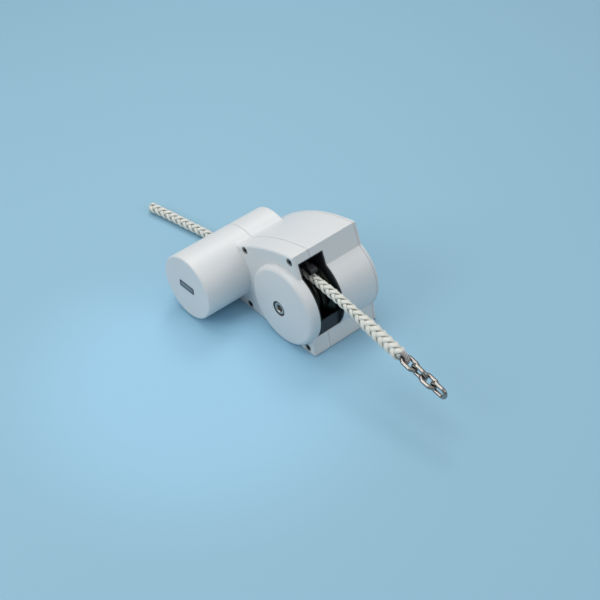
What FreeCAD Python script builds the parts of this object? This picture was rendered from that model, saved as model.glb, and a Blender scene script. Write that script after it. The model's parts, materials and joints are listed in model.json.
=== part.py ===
"""Horizontal anchor windlass: rope and chain gypsy, cone clutch, three-stage spur gearbox, 12 V motor.

Millimetres. +X points forward, to the bow roller. +Y runs along the main shaft, from the clutch side to the
gearbox side. +Z is up. The origin is on the deck, under the main shaft, in the plane of the rope.
"""
import FreeCAD, Part
import math
import os

os.makedirs("parts", exist_ok=True)

Vector = FreeCAD.Vector
SHAFT_WAY = Vector(0, 1, 0)
UP = Vector(0, 0, 1)
FORWARD = Vector(1, 0, 0)

# Fits and clearances
running_fit = 0.05
slip_gap = 0.1
body_gap = 0.4
seat_gap = 0.3

# Casing, seen from the side
wheel_floor_gap = 2.7
wheel_wall_gap = 7.5
top_edge_x = 13.4
top_edge_rise = 45.1
front_slant = 0.383
arch_radius = 300.0
arch_centre_x = 66.0
foot_front_x = 58.8
foot_rear_x = -150.0
near_foot_rear_x = -125.0
gasket_thickness = 1.0
floor_thickness = 8.0
wall = 4.0
rear_corner_radius = 14.0
valley_radius = 14.0

# Casing, along the shaft
gypsy_side_gap = 2.0
near_wall_gap = 3.0
far_wall_gap = 1.0
far_depth = 91.4
bulkhead_thickness = 4.5
cover_thickness = 5.0
seal_thickness = 0.5
near_edge_radius = 4.0
far_edge_radius = 2.5

# Round boss over the gypsy
drum_face_depth = 41.5
dome_rise = 4.5
rim_radius = 8.0

# Mouth of the casing
mouth_rise = 33.2
mouth_bottom = 29.7
seam_edge = 0.6

# Motor cover
motor_x = -132.8
motor_cover_deck_gap = 4.1
motor_cover_room = 11.2
motor_cover_near_depth = 108.7
motor_cover_far_depth = 61.5
motor_cover_edge = 3.0

# Motor
can_radius = 36.5
can_wall = 2.6
end_bell_thickness = 7.0
magnet_thickness = 5.5
air_gap = 0.8
armature_slots = 10
motor_shaft_radius = 4.0
commutator_radius = 12.0
commutator_length = 15.0
brush_width = 8.0
brush_length = 12.0
brush_end_room = 7.0
commutator_gap = 8.0
armature_end_room = 9.0
motor_bearing_radius = 8.0
motor_bearing_width = 5.0
terminal_stud = 8.0
terminal_gap = 1.7
motor_spigot_radius = 15.0
motor_screw_circle = 30.0

# Way for the rope along the deck
rope_way_half_width = 11.0
rope_way_height = 18.6
rope_way_front_x = -20.0
rope_way_corner = 6.0

# Deck bolts
bolt_front_x = 22.0
bolt_rear_x = -112.0
bolt_near_y = -18.5
bolt_far_y = 76.0
deck_tap_radius = 3.4
deck_tap_depth = 9.5
deck_boss_radius = 7.0
deck_boss_height = 11.5

# Casing screws, M6 socket caps
screw_radius = 3.0
screw_head_radius = 5.0
screw_head_height = 6.0
screw_counterbore_radius = 6.0
screw_counterbore_depth = 7.0
screw_hex = 5.0
screw_boss_radius = 7.5
top_screw_inset = 9.5
top_screw_front_x = 7.8
top_screw_rear_x = -91.2
low_screw_z = 7.3
low_screw_front_x = 43.4
low_screw_rear_x = -85.5
top_screw_length = 34.0
low_screw_length = 11.0
low_boss_depth = 10.5

# Main shaft, gypsy and clutch
shaft_radius = 10.0
thread_radius = 8.0
gypsy_radius = 52.5
gypsy_half_width = 19.0
gypsy_slot_half = 3.6
gypsy_slot_radius = 36.0
gypsy_hub_half = 9.0
rope_radius = 7.0
rope_line_depth = 5.5
groove_radius = 7.5
flange_land = 4.0
chain_pockets = 8
chain_wire = 6.0
chain_pitch = 18.5
chain_width = 20.4
cone_mouth_radius = 30.0
cone_root_radius = 27.0
cone_hub_radius = 18.0
bush_wall = 3.0
nut_radius = 10.0
nut_flange_radius = 15.0
nut_flange_thickness = 3.5
nut_hex = 11.0
nut_hex_depth = 11.0
disc_spring_thickness = 1.5
nut_seal_wall = 2.2
clutch_travel = 1.0

# Bearings and seals on the main shaft
bearing_radius = 21.0
bearing_width = 12.0
lip_seal_radius = 17.0
lip_seal_width = 4.0
bearing_boss_wall = 4.5

# Gear train
pressure_angle = math.radians(25)
backlash = 0.2
final_module = 2.0
final_teeth = 50
final_pinion_teeth = 12
final_width = 16.0
second_module = 1.5
second_teeth = 48
second_pinion_teeth = 12
second_width = 10.0
first_module = 1.25
first_teeth = 48
motor_pinion_teeth = 12
first_width = 8.0
pinion_extra = 1.0
stage_gap = 5.0
second_shaft_radius = 7.5
first_shaft_radius = 5.5
layshaft_rise = math.radians(12.6)
bush_thickness = 3.0
bush_length = 7.0

# Liner in the mouth
liner_wall = 2.0
liner_inset = 0.8
liner_rear_x = -33.0
apron_drop = 6.2
apron_lean = 0.11
liner_roof_rise = 25.8

# Pressure arm
arm_pivot_x = -16.0
arm_pivot_rise = 17.8
arm_hub_radius = 6.0
arm_pin_radius = 3.0
arm_half_width = 6.0
arm_tip_x = 22.0
arm_tip_radius = 5.0

# Finger that strips the gypsy's groove
stripper_bar_radius = 4.5
stripper_bar_gap = 3.28
stripper_bar_below = math.radians(43.12)
stripper_half_width = 2.7

# Gearbox cover screws, M5 countersunk
cover_screw_radius = 2.5
cover_screw_length = 12.0
cover_head_radius = 4.8
cover_screw_hex = 3.0
cover_boss_radius = 6.0
cover_top_middle_x = -55.0
cover_top_rear_inset = 34.0
cover_low_middle_x = -45.0

# Cable gland, in the back of the motor cover
gland_y = -70.0
gland_z = 30.0
gland_radius = 8.0
gland_pad = 5.0
gland_insert_radius = 5.5
gland_bore = 4.0
gland_flats = 22.0
gland_nut_flats = 20.0
gland_flange = 4.0
gland_nut_length = 9.5

# Chain ahead of the splice
chain_start_x = 204.6
chain_start_drop = 28.1
splice_start_x = 112.0
splice_start_drop = 10.87
rope_lead = 42.0
splice_radius = 10.2
eye_strand = 3.9

# Worked out from the sizes above
final_tip_radius = final_module * (final_teeth / 2 + 1)
largest_wheel = max(gypsy_radius, final_tip_radius)
floor_top = gasket_thickness + floor_thickness
shaft_height = floor_top + wheel_floor_gap + largest_wheel
drum_radius = largest_wheel + wheel_wall_gap + wall
rope_line_radius = gypsy_radius - rope_line_depth
rope_top_z = shaft_height + rope_line_radius
top_edge_z = rope_top_z + top_edge_rise
mouth_top = rope_top_z + mouth_rise
liner_roof_z = rope_top_z + liner_roof_rise
arm_pivot_z = rope_top_z + arm_pivot_rise
apron_top = shaft_height - apron_drop
stripper_bar_reach = gypsy_radius + stripper_bar_gap + stripper_bar_radius
stripper_bar_x = -stripper_bar_reach * math.cos(stripper_bar_below)
stripper_bar_z = shaft_height - stripper_bar_reach * math.sin(stripper_bar_below)
mouth_half_width = gypsy_half_width + gypsy_side_gap + liner_wall
near_depth = mouth_half_width + near_wall_gap + wall
bulkhead_near = mouth_half_width + far_wall_gap
motor_cover_radius = can_radius + motor_cover_room + wall
motor_z = motor_cover_radius + motor_cover_deck_gap
arch_centre_z = top_edge_z - math.sqrt(arch_radius ** 2 - (arch_centre_x - top_edge_x) ** 2)
bulkhead_far = bulkhead_near + bulkhead_thickness
motor_length = bulkhead_near + motor_cover_near_depth - wall - terminal_gap - terminal_stud
can_length = motor_length - 2 * end_bell_thickness
armature_length = can_length - brush_end_room - commutator_length - commutator_gap - armature_end_room
cover_near = far_depth - cover_thickness
case_far = cover_near - seal_thickness
gland_wall_x = motor_x - math.sqrt(motor_cover_radius ** 2 - (motor_z - gland_z) ** 2)


def at(x, z, y=0.0):
    return Vector(x, y, z)


def along_shaft(radius, start, end, x=0.0, z=shaft_height):
    """A round bar parallel to the main shaft."""
    return Part.makeCylinder(radius, end - start, Vector(x, start, z), SHAFT_WAY)


def ring(outer, inner, start, end, x=0.0, z=shaft_height):
    return along_shaft(outer, start, end, x, z).cut(along_shaft(inner, start, end, x, z))


def outline(start, *steps):
    """A flat face. Each step is a point to run straight to, or a (middle, end) pair to reach by an arc."""
    edges = []
    here = start
    for step in steps:
        if isinstance(step, tuple):
            middle, end = step
            edges.append(Part.Arc(here, middle, end).toShape())
        else:
            end = step
            edges.append(Part.LineSegment(here, end).toShape())
        here = end
    edges.append(Part.LineSegment(here, start).toShape())
    return Part.Face(Part.Wire(edges))


def slab(face, start, end):
    """A face drawn in the plane Y = 0, made solid from one place along the shaft to another."""
    moved = face.copy()
    moved.translate(Vector(0, start, 0))
    return moved.extrude(Vector(0, end - start, 0))


def turned(profile, x=0.0, z=shaft_height):
    """A closed (radius, y) profile turned about an axis parallel to the main shaft."""
    points = [Vector(x + radius, y, z) for radius, y in profile]
    face = Part.Face(Part.makePolygon(points + points[:1]))
    return face.revolve(Vector(x, 0, z), SHAFT_WAY, 360)


def box(low, high):
    size = [high[i] - low[i] for i in range(3)]
    return Part.makeBox(size[0], size[1], size[2], Vector(*low))


def hexagon(across_flats, start, end, x, z):
    reach = across_flats / 2 / math.cos(math.pi / 6)
    corners = [at(x + reach * math.cos(k * math.pi / 3), z + reach * math.sin(k * math.pi / 3)) for k in range(6)]
    return slab(Part.Face(Part.makePolygon(corners + corners[:1])), start, end)


def merged(first, *others):
    return first.multiFuse(list(others)).removeSplitter()


def arch_height(x, inset=0.0):
    return arch_centre_z + math.sqrt((arch_radius - inset) ** 2 - (x - arch_centre_x) ** 2)


def circle_crossing(a, radius_a, b, radius_b, side):
    """Where two circles cross, on the left (+1) or right (-1) of the way from a to b."""
    apart = b - a
    span = apart.Length
    along = (radius_a ** 2 - radius_b ** 2 + span ** 2) / (2 * span)
    off = math.sqrt(radius_a ** 2 - along ** 2)
    way = apart / span
    square = Vector(-way.z, 0, way.x)
    return a + way * along + square * (off * side)


def line_crossing(point, way, centre, radius, side):
    """Where a line crosses a circle: its later (+1) or earlier (-1) crossing along the way."""
    rise = (centre - point).dot(way)
    foot = point + way * rise
    half = math.sqrt(radius ** 2 - (foot - centre).Length ** 2)
    return foot + way * (half * side)


def side_profile(inset, bottom, rear_x, with_motor):
    """The casing's outline from the side, drawn in by a wall, down to a given bottom."""
    shaft = at(0, shaft_height)
    arch_centre = at(arch_centre_x, arch_centre_z)
    motor = at(motor_x, motor_z)
    drum = drum_radius - inset
    # Block under the mouth: a steep front from the foot up to the round boss
    low_meet = at(math.sqrt(drum_radius ** 2 - (shaft_height - mouth_bottom) ** 2), mouth_bottom)
    block_way = (low_meet - at(foot_front_x, gasket_thickness)).normalize()
    block_in = Vector(-block_way.z, 0, block_way.x) * inset
    block_foot = at(foot_front_x, gasket_thickness) + block_in
    front_bottom = block_foot + block_way * ((bottom - block_foot.z) / block_way.z)
    low_meet = line_crossing(block_foot, block_way, shaft, drum, -1)
    # Slanted front between the boss and the top edge
    slant_way = at(-front_slant, 1).normalize()
    slant_in = at(-slant_way.z, slant_way.x) * inset
    slant_foot = at(top_edge_x, top_edge_z) + slant_in
    kink = line_crossing(slant_foot, slant_way, shaft, drum, 1)
    top = line_crossing(slant_foot, slant_way, arch_centre, arch_radius - inset, 1)
    steps = [low_meet, (at(drum, shaft_height), kink), top]
    if with_motor:
        hollow = circle_crossing(arch_centre, arch_radius + valley_radius,
                                 motor, motor_cover_radius + valley_radius, -1)
        bend = valley_radius + inset
        arch_end = arch_centre + (hollow - arch_centre).normalize() * (arch_radius - inset)
        motor_start = motor + (hollow - motor).normalize() * (motor_cover_radius - inset)
        bend_way = (arch_end + motor_start) * 0.5 - hollow
        steps += [(at((top.x + arch_end.x) / 2, arch_height((top.x + arch_end.x) / 2, inset)), arch_end),
                  (hollow + bend_way.normalize() * bend, motor_start)]
        around = motor_cover_radius - inset
        under_z = motor_z - math.sqrt(around ** 2 - (rear_x + inset - motor_x) ** 2)
        steps += [(at(motor_x - around, motor_z), at(rear_x + inset, under_z)), at(rear_x + inset, bottom)]
    else:
        corner = rear_corner_radius - inset
        reach = arch_radius - rear_corner_radius
        centre_x = rear_x + rear_corner_radius
        centre = at(centre_x, arch_centre_z + math.sqrt(reach ** 2 - (centre_x - arch_centre_x) ** 2))
        corner_start = centre + (centre - arch_centre).normalize() * corner
        corner_end = centre - FORWARD * corner
        corner_way = (corner_start + corner_end) * 0.5 - centre
        middle_x = (top.x + corner_start.x) / 2
        steps += [(at(middle_x, arch_height(middle_x, inset)), corner_start),
                  (centre + corner_way.normalize() * corner, corner_end),
                  at(rear_x + inset, bottom)]
    return outline(front_bottom, *steps)


def edges_where(shape, test):
    return [edge for edge in shape.Edges if test(edge)]


def edge_on(edge, y):
    """True for an edge that lies all along in the plane Y = y."""
    return all(abs(vertex.Point.y - y) < 0.01 for vertex in edge.Vertexes)


def over_boss(edge):
    """True for an edge of the arch or of the slanted front, above the round boss."""
    middle = edge.valueAt((edge.FirstParameter + edge.LastParameter) / 2)
    reach = math.hypot(middle.x, middle.z - shaft_height)
    return reach > drum_radius + slip_gap and middle.z > shaft_height and middle.x > top_screw_rear_x + top_screw_inset


def drum_solid(inset, back):
    """The round boss over the gypsy with its domed face, drawn in by a wall."""
    face_y = -drum_face_depth + inset
    crown_y = face_y - dome_rise
    outer = drum_radius - inset
    bend = rim_radius - inset / 2
    flat = outer - bend
    dome = (flat ** 2 + dome_rise ** 2) / (2 * dome_rise)
    middle = flat / 2
    middle_y = crown_y + dome - math.sqrt(dome ** 2 - middle ** 2)
    turn = math.sqrt(0.5)
    face = outline(Vector(0, crown_y, shaft_height),
                   (Vector(middle, middle_y, shaft_height), Vector(flat, face_y, shaft_height)),
                   (Vector(flat + bend * turn, face_y + bend * (1 - turn), shaft_height),
                    Vector(outer, face_y + bend, shaft_height)),
                   Vector(outer, back, shaft_height),
                   Vector(0, back, shaft_height))
    return face.revolve(Vector(0, 0, shaft_height), SHAFT_WAY, 360)


def screw_places():
    """Centres of the casing screws: two under the arch, two low down."""
    high = [(x, arch_height(x) - top_screw_inset) for x in (top_screw_front_x, top_screw_rear_x)]
    low = [(x, low_screw_z) for x in (low_screw_front_x, low_screw_rear_x)]
    return high, low


def rope_way_cutter():
    """The arched way that lets the rope out along the deck, under the motor."""
    half = rope_way_half_width
    shoulder = rope_way_height - rope_way_corner
    turn = rope_way_corner * (1 - math.sqrt(0.5))
    start_x = rope_way_front_x - half
    low, high = -1.0, rope_way_height
    end = Vector(start_x, -half, low)
    profile = outline(end,
                      Vector(start_x, -half, shoulder),
                      (Vector(start_x, -half + turn, high - turn), Vector(start_x, -half + rope_way_corner, high)),
                      Vector(start_x, half - rope_way_corner, high),
                      (Vector(start_x, half - turn, high - turn), Vector(start_x, half, shoulder)),
                      Vector(start_x, half, low))
    run = start_x - (motor_x - motor_cover_radius) + wall
    rounded_end = Part.makeCylinder(half, floor_top - low + 1, Vector(start_x, 0, low), UP)
    return profile.extrude(Vector(-run, 0, 0)).fuse(rounded_end)


def mouth_cutter():
    return box((liner_inset + 4, -mouth_half_width, mouth_bottom), (drum_radius + wall, mouth_half_width, mouth_top))


def near_moulding():
    """Near half of the casing: side wall, domed boss and the long motor cover in one moulding."""
    shell = slab(side_profile(0, gasket_thickness, near_foot_rear_x, True), -near_depth, -seam_edge)
    rounded = edges_where(shell, lambda edge: edge_on(edge, -near_depth) and over_boss(edge))
    shell = shell.makeFillet(near_edge_radius, rounded)
    barrel = along_shaft(motor_cover_radius, -motor_cover_near_depth, -seam_edge, motor_x, motor_z)
    solid = merged(shell, barrel)
    barrel_end = edges_where(solid, lambda edge: edge_on(edge, -motor_cover_near_depth))
    solid = solid.makeFillet(motor_cover_edge, barrel_end)
    solid = merged(solid, drum_solid(0, -near_depth + wall))
    # A small rebate marks the seam with the far half
    edge_slab = slab(side_profile(seam_edge, gasket_thickness, near_foot_rear_x, True), -seam_edge, 0)
    edge_barrel = along_shaft(motor_cover_radius - seam_edge, -seam_edge, 0, motor_x, motor_z)
    solid = merged(solid, edge_slab, edge_barrel)
    outside = solid
    # Hollow it out, leaving the foot open
    room = slab(side_profile(wall, -wall, near_foot_rear_x, True), -near_depth + wall, wall)
    drum_room = drum_solid(wall, wall)
    barrel_room = along_shaft(motor_cover_radius - wall, -motor_cover_near_depth + wall, wall, motor_x, motor_z)
    solid = solid.cut(room.fuse([drum_room, barrel_room]))
    # Screw bosses
    high, low = screw_places()
    bosses = [along_shaft(screw_boss_radius, -near_depth + wall / 2, 0, x, z) for x, z in high]
    bosses += [along_shaft(screw_boss_radius, -near_depth + wall / 2, -near_depth + low_boss_depth, x, z)
               for x, z in low]
    solid = solid.fuse([boss.common(outside) for boss in bosses])
    # Ribs that stiffen the side wall between the boss and the motor cover
    for step in range(3):
        rib_z = shaft_height + (step - 1) * 26
        reach = math.sqrt((drum_radius - wall) ** 2 - (rib_z - shaft_height) ** 2)
        rib = box((-reach - 12, -near_depth + wall / 2, rib_z - 1.2), (-reach + 1, -near_depth + wall + 3, rib_z + 1.2))
        solid = solid.fuse(rib)
    for x, z in high + low:
        solid = solid.cut(along_shaft(screw_counterbore_radius, -near_depth - 1,
                                      -near_depth + screw_counterbore_depth, x, z))
        solid = solid.cut(along_shaft(screw_radius + seat_gap, -near_depth - 1, 1, x, z))
    # Openings: mouth, clutch nut, rope way, cable gland
    solid = solid.cut(mouth_cutter())
    solid = solid.cut(along_shaft(nut_radius + nut_seal_wall, -drum_face_depth - dome_rise - 1, -drum_face_depth + wall + 1))
    solid = solid.cut(rope_way_cutter())
    boss = gland_boss().cut(barrel_room)
    solid = solid.fuse(boss).cut(gland_thread())
    below = box((-drum_radius, -near_depth, -1), (drum_radius, 1, gasket_thickness))
    solid = solid.cut(below)
    return solid.removeSplitter()


def near_halves():
    """The near moulding as two solids that meet where the motor cover stands out from the side wall."""
    moulding = near_moulding()
    between = (motor_x + motor_cover_radius - drum_radius) / 2
    cover_side = box((motor_x - 2 * motor_cover_radius, -motor_cover_near_depth - 1, -1),
                     (between, -near_depth, 2 * motor_cover_radius + motor_z))
    return moulding.cut(cover_side), moulding.common(cover_side)


def gland_thread():
    return Part.makeCylinder(gland_radius, 3 * wall + 6, Vector(gland_wall_x - 6, gland_y, gland_z), FORWARD)


# Places worked out from the sizes above
nut_face = -(drum_face_depth + dome_rise) + clutch_travel
cone_hub_end = bulkhead_near - 0.6
nut_back = -(cone_hub_end + disc_spring_thickness)
thread_end = nut_face + nut_hex_depth + 1.0
cone_root = gypsy_hub_half + body_gap
seal_far = bulkhead_near + lip_seal_width
bearing_far = seal_far + bearing_width
first_near = bulkhead_far + bush_length - 2.5
first_far = first_near + first_width
second_near = first_far + stage_gap
second_far = second_near + second_width
final_near = second_far + stage_gap
final_far = final_near + final_width
cover_boss_near = final_far + 3.0
shaft_far = far_depth - 3.5
lay_far = shaft_far - 0.5
final_span = final_module * (final_teeth + final_pinion_teeth) / 2
second_span = second_module * (second_teeth + second_pinion_teeth) / 2
first_span = first_module * (first_teeth + motor_pinion_teeth) / 2
main_axis = at(0, shaft_height)
motor_axis = at(motor_x, motor_z)
second_axis = main_axis + at(-math.cos(layshaft_rise), math.sin(layshaft_rise)) * final_span
first_axis = circle_crossing(second_axis, second_span, motor_axis, first_span, 1)


def far_casing():
    """Far half of the casing: floor, bulkhead and gearbox case in one casting."""
    main = slab(side_profile(0, gasket_thickness, foot_rear_x, True), 0, motor_cover_far_depth)
    gearbox = slab(side_profile(0, gasket_thickness, foot_rear_x, False), 0, case_far)
    tongue_box = box((near_foot_rear_x + wall + body_gap, -near_depth + wall + body_gap, gasket_thickness),
                     (foot_front_x, 0, floor_top))
    tongue = slab(side_profile(wall + body_gap, gasket_thickness, near_foot_rear_x, True),
                  -near_depth + wall + body_gap, 0).common(tongue_box)
    outside = merged(main, gearbox)
    rear_edges = edges_where(outside, lambda edge: edge_on(edge, motor_cover_far_depth)
                             and edge.BoundBox.XMin < foot_rear_x - wall)
    outside = outside.makeFillet(far_edge_radius, rear_edges)
    rope_room = slab(side_profile(wall, floor_top, foot_rear_x, True), -1, bulkhead_near)
    gear_room = slab(side_profile(wall, floor_top, foot_rear_x, False), bulkhead_far, far_depth)
    motor_end_room = along_shaft(motor_cover_radius - wall, bulkhead_far, motor_cover_far_depth - wall,
                                 motor_x, motor_z)
    solid = outside.cut(rope_room).cut(gear_room.fuse(motor_end_room)).fuse(tongue)
    # Bosses for bearings, screws and deck bolts
    bosses = [along_shaft(bearing_radius + bearing_boss_wall, bulkhead_near, bearing_far)]
    for axis, radius in lay_seats():
        bosses.append(along_shaft(radius + bush_thickness, bulkhead_near, bulkhead_near + bush_length, axis.x, axis.z))
    high, low = screw_places()
    bosses += [along_shaft(screw_boss_radius, 0, bulkhead_far, x, z) for x, z in high]
    bosses += [along_shaft(cover_boss_radius, bulkhead_near, case_far, x, z) for x, z in cover_screw_places()]
    bosses.append(along_shaft(arm_pin_radius + 3, bulkhead_near, bulkhead_far + 4, arm_pivot_x, arm_pivot_z))
    solid = solid.fuse([boss.common(outside) for boss in bosses])
    pads = [along_shaft(low_screw_z - gasket_thickness, -near_depth + low_boss_depth, -rope_way_half_width - 1, x, z)
            for x, z in low]
    pads += [Part.makeCylinder(deck_boss_radius, deck_boss_height, Vector(x, y, gasket_thickness), UP)
             for x, y in deck_bolt_places()]
    solid = solid.fuse(pads)
    # Bores
    for x, z in low:
        solid = solid.cut(along_shaft(screw_boss_radius + body_gap, -near_depth,
                                      -near_depth + low_boss_depth + body_gap, x, z))
        solid = solid.cut(along_shaft(screw_radius, -near_depth, -near_depth + screw_counterbore_depth
                                      + low_screw_length + 1, x, z))
    for x, z in high:
        solid = solid.cut(along_shaft(screw_radius, -1, top_screw_length - near_depth + screw_counterbore_depth + 2,
                                      x, z))
    for x, y in deck_bolt_places():
        solid = solid.cut(Part.makeCylinder(deck_tap_radius, deck_tap_depth + 1,
                                            Vector(x, y, gasket_thickness - 1), UP))
    for x, z in cover_screw_places():
        solid = solid.cut(along_shaft(cover_screw_radius, case_far - cover_screw_length, far_depth, x, z))
    for axis, radius in lay_seats():
        solid = solid.cut(along_shaft(radius, bulkhead_near - 1, bulkhead_near + bush_length + 1, axis.x, axis.z))
    solid = solid.cut(along_shaft(lip_seal_radius, bulkhead_near - 1, seal_far + 1))
    solid = solid.cut(along_shaft(bearing_radius, seal_far, bearing_far + 1))
    solid = solid.cut(along_shaft(arm_pin_radius, bulkhead_near - 1, bulkhead_far + 3, arm_pivot_x, arm_pivot_z))
    solid = solid.cut(along_shaft(stripper_bar_radius, bulkhead_near - 1, bulkhead_far - 1,
                                  stripper_bar_x, stripper_bar_z))
    solid = solid.cut(along_shaft(motor_spigot_radius, bulkhead_near - 1, bulkhead_far + 1, motor_x, motor_z))
    for x, z in motor_screw_places():
        solid = solid.cut(along_shaft(screw_radius + seat_gap, bulkhead_near - 1, bulkhead_far + 1, x, z))
    solid = solid.cut(mouth_cutter()).cut(rope_way_cutter())
    return solid.removeSplitter()


def lay_seats():
    """Axis and seat radius of the two layshaft bushes."""
    return [(second_axis, second_shaft_radius + bush_thickness), (first_axis, first_shaft_radius + bush_thickness)]


def deck_bolt_places():
    return [(x, y) for x in (bolt_front_x, bolt_rear_x) for y in (bolt_near_y, bolt_far_y)]


def motor_screw_places():
    turn = math.radians(120)
    return [(motor_x + motor_screw_circle * math.cos(turn), motor_z + side * motor_screw_circle * math.sin(turn))
            for side in (1, -1)]


def cover_screw_places():
    """Six screws just inside the edge of the gearbox cover."""
    inset = cover_boss_radius + wall - 1
    high = (top_edge_x - wall, cover_top_middle_x, foot_rear_x + cover_top_rear_inset)
    low = (foot_rear_x + inset, cover_low_middle_x, foot_front_x - inset - 2)
    places = [(x, arch_height(x) - inset) for x in high]
    places += [(x, floor_top + wall) for x in low]
    return places


def gearbox_cover():
    """Flat end cover with the outer bearing seats."""
    plate = slab(side_profile(0, gasket_thickness, foot_rear_x, False), cover_near, far_depth)
    rim = edges_where(plate, lambda edge: edge_on(edge, far_depth) and edge.BoundBox.ZMax > floor_top)
    plate = plate.makeFillet(far_edge_radius, rim)
    seats = [(main_axis, shaft_radius + bush_thickness)] + lay_seats()
    for axis, radius in seats:
        plate = plate.fuse(along_shaft(radius + bush_thickness, cover_boss_near, cover_near + 1, axis.x, axis.z))
    for axis, radius in seats:
        plate = plate.cut(along_shaft(radius, cover_boss_near - 1, shaft_far + 0.4, axis.x, axis.z))
    for x, z in cover_screw_places():
        plate = plate.cut(along_shaft(cover_screw_radius + 0.25, cover_near - 1, far_depth + 1, x, z))
        cone = turned([(0, far_depth + 0.1), (cover_head_radius + 0.1, far_depth + 0.1),
                       (cover_screw_radius, far_depth - cover_head_radius + cover_screw_radius),
                       (0, far_depth - cover_head_radius + cover_screw_radius)], x, z)
        plate = plate.cut(cone)
    return plate.removeSplitter()


def gearbox_seal():
    """Paper-thin seal between the gearbox case and its cover."""
    outer = slab(side_profile(0.6, gasket_thickness + 0.3, foot_rear_x, False), case_far, cover_near)
    inner = slab(side_profile(wall, floor_top, foot_rear_x, False), case_far - 1, cover_near + 1)
    for x, z in cover_screw_places():
        inner = inner.cut(along_shaft(cover_boss_radius, case_far - 1, cover_near + 1, x, z))
    seal = outer.cut(inner)
    for x, z in cover_screw_places():
        seal = seal.cut(along_shaft(cover_screw_radius + 0.4, case_far - 1, cover_near + 1, x, z))
    return max(seal.Solids, key=lambda piece: piece.Volume)


def countersunk_screws():
    """Gearbox cover screws with a hexagon socket."""
    screws = []
    depth = cover_head_radius - cover_screw_radius
    for x, z in cover_screw_places():
        screw = turned([(0, far_depth - 0.1), (cover_head_radius - 0.1, far_depth - 0.1),
                        (cover_screw_radius, far_depth - depth), (cover_screw_radius, case_far - cover_screw_length + 1),
                        (0, case_far - cover_screw_length + 1)], x, z)
        screws.append(screw.cut(hexagon(cover_screw_hex, far_depth - depth + 0.3, far_depth + 1, x, z)))
    return Part.makeCompound(screws)


def cap_screw(head_end, length, x, z):
    """Socket cap screw driven along +Y, its head ending at head_end."""
    head_start = head_end - screw_head_height
    head = along_shaft(screw_head_radius, head_start, head_end, x, z)
    shank = along_shaft(screw_radius, head_end, head_end + length, x, z)
    socket = hexagon(screw_hex, head_start - 1, head_start + screw_head_height * 0.6, x, z)
    return merged(head, shank).cut(socket)


def casing_screws():
    seat = -near_depth + screw_counterbore_depth
    high, low = screw_places()
    screws = [cap_screw(seat, top_screw_length, x, z) for x, z in high]
    screws += [cap_screw(seat, low_screw_length, x, z) for x, z in low]
    return Part.makeCompound(screws)


def base_gasket():
    edge = 1.0
    far = box((foot_rear_x + edge, 0, 0), (foot_front_x - edge, far_depth - edge, gasket_thickness))
    near = box((near_foot_rear_x + edge, -near_depth + edge, 0), (foot_front_x - edge, 0, gasket_thickness))
    sheet = merged(far, near).cut(rope_way_cutter())
    for x, y in deck_bolt_places():
        sheet = sheet.cut(Part.makeCylinder(deck_tap_radius + 1, 3, Vector(x, y, -1), UP))
    return sheet


def fairlead_liner():
    """Black liner of the mouth: two cheeks, a sloping roof and an apron below the rope."""
    outer = mouth_half_width - seat_gap
    inner = outer - liner_wall
    face = side_profile(liner_inset, mouth_bottom + seat_gap, foot_rear_x, True)
    roof_top = liner_roof_z + liner_wall
    block = slab(face, -outer, outer)
    window = box((liner_rear_x, -outer, mouth_bottom + seat_gap), (drum_radius, outer, mouth_top - seat_gap))
    block = block.common(window)
    lip_x = top_edge_x - 2
    block = block.cut(box((liner_rear_x - 1, -outer - 1, roof_top), (lip_x, outer + 1, mouth_top)))
    hollow = box((liner_rear_x - 1, -inner, mouth_bottom), (lip_x - 1, inner, liner_roof_z))
    lip_rise = mouth_top - liner_roof_z - liner_wall
    throat = Part.makePolygon([at(lip_x - 2, mouth_bottom), at(lip_x - 2, liner_roof_z),
                               at(lip_x + lip_rise, mouth_top - liner_wall), at(drum_radius + 5, mouth_top - liner_wall),
                               at(drum_radius + 5, apron_top), at(apron_x(apron_top) - liner_wall, apron_top),
                               at(apron_x(mouth_bottom) - liner_wall, mouth_bottom + liner_wall + 1),
                               at(apron_x(mouth_bottom) - 8, mouth_bottom + liner_wall),
                               at(apron_x(mouth_bottom) - 8, mouth_bottom), at(lip_x - 2, mouth_bottom)])
    hollow = hollow.fuse(slab(Part.Face(throat), -inner, inner))
    in_front = Part.makePolygon([at(apron_x(mouth_bottom), mouth_bottom - 1), at(apron_x(apron_top), apron_top + 1),
                                 at(drum_radius + 5, apron_top + 1), at(drum_radius + 5, mouth_bottom - 1),
                                 at(apron_x(mouth_bottom), mouth_bottom - 1)])
    hollow = hollow.fuse(slab(Part.Face(in_front), -inner, inner))
    liner = block.cut(hollow)
    liner = liner.cut(along_shaft(cone_mouth_radius + 1.5, -outer - 1, outer + 1))
    liner = liner.cut(along_shaft(arm_pin_radius + seat_gap, 0, outer + 1, arm_pivot_x, arm_pivot_z))
    for x, z in screw_places()[0]:
        liner = liner.cut(along_shaft(screw_boss_radius + body_gap, -outer - 1, outer + 1, x, z))
    return liner.removeSplitter()


def apron_x(z):
    """Front of the apron at a height: it leans forward a little as it rises."""
    foot = math.sqrt(drum_radius ** 2 - (shaft_height - mouth_bottom) ** 2) - liner_inset
    return foot + (z - mouth_bottom) * apron_lean


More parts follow.
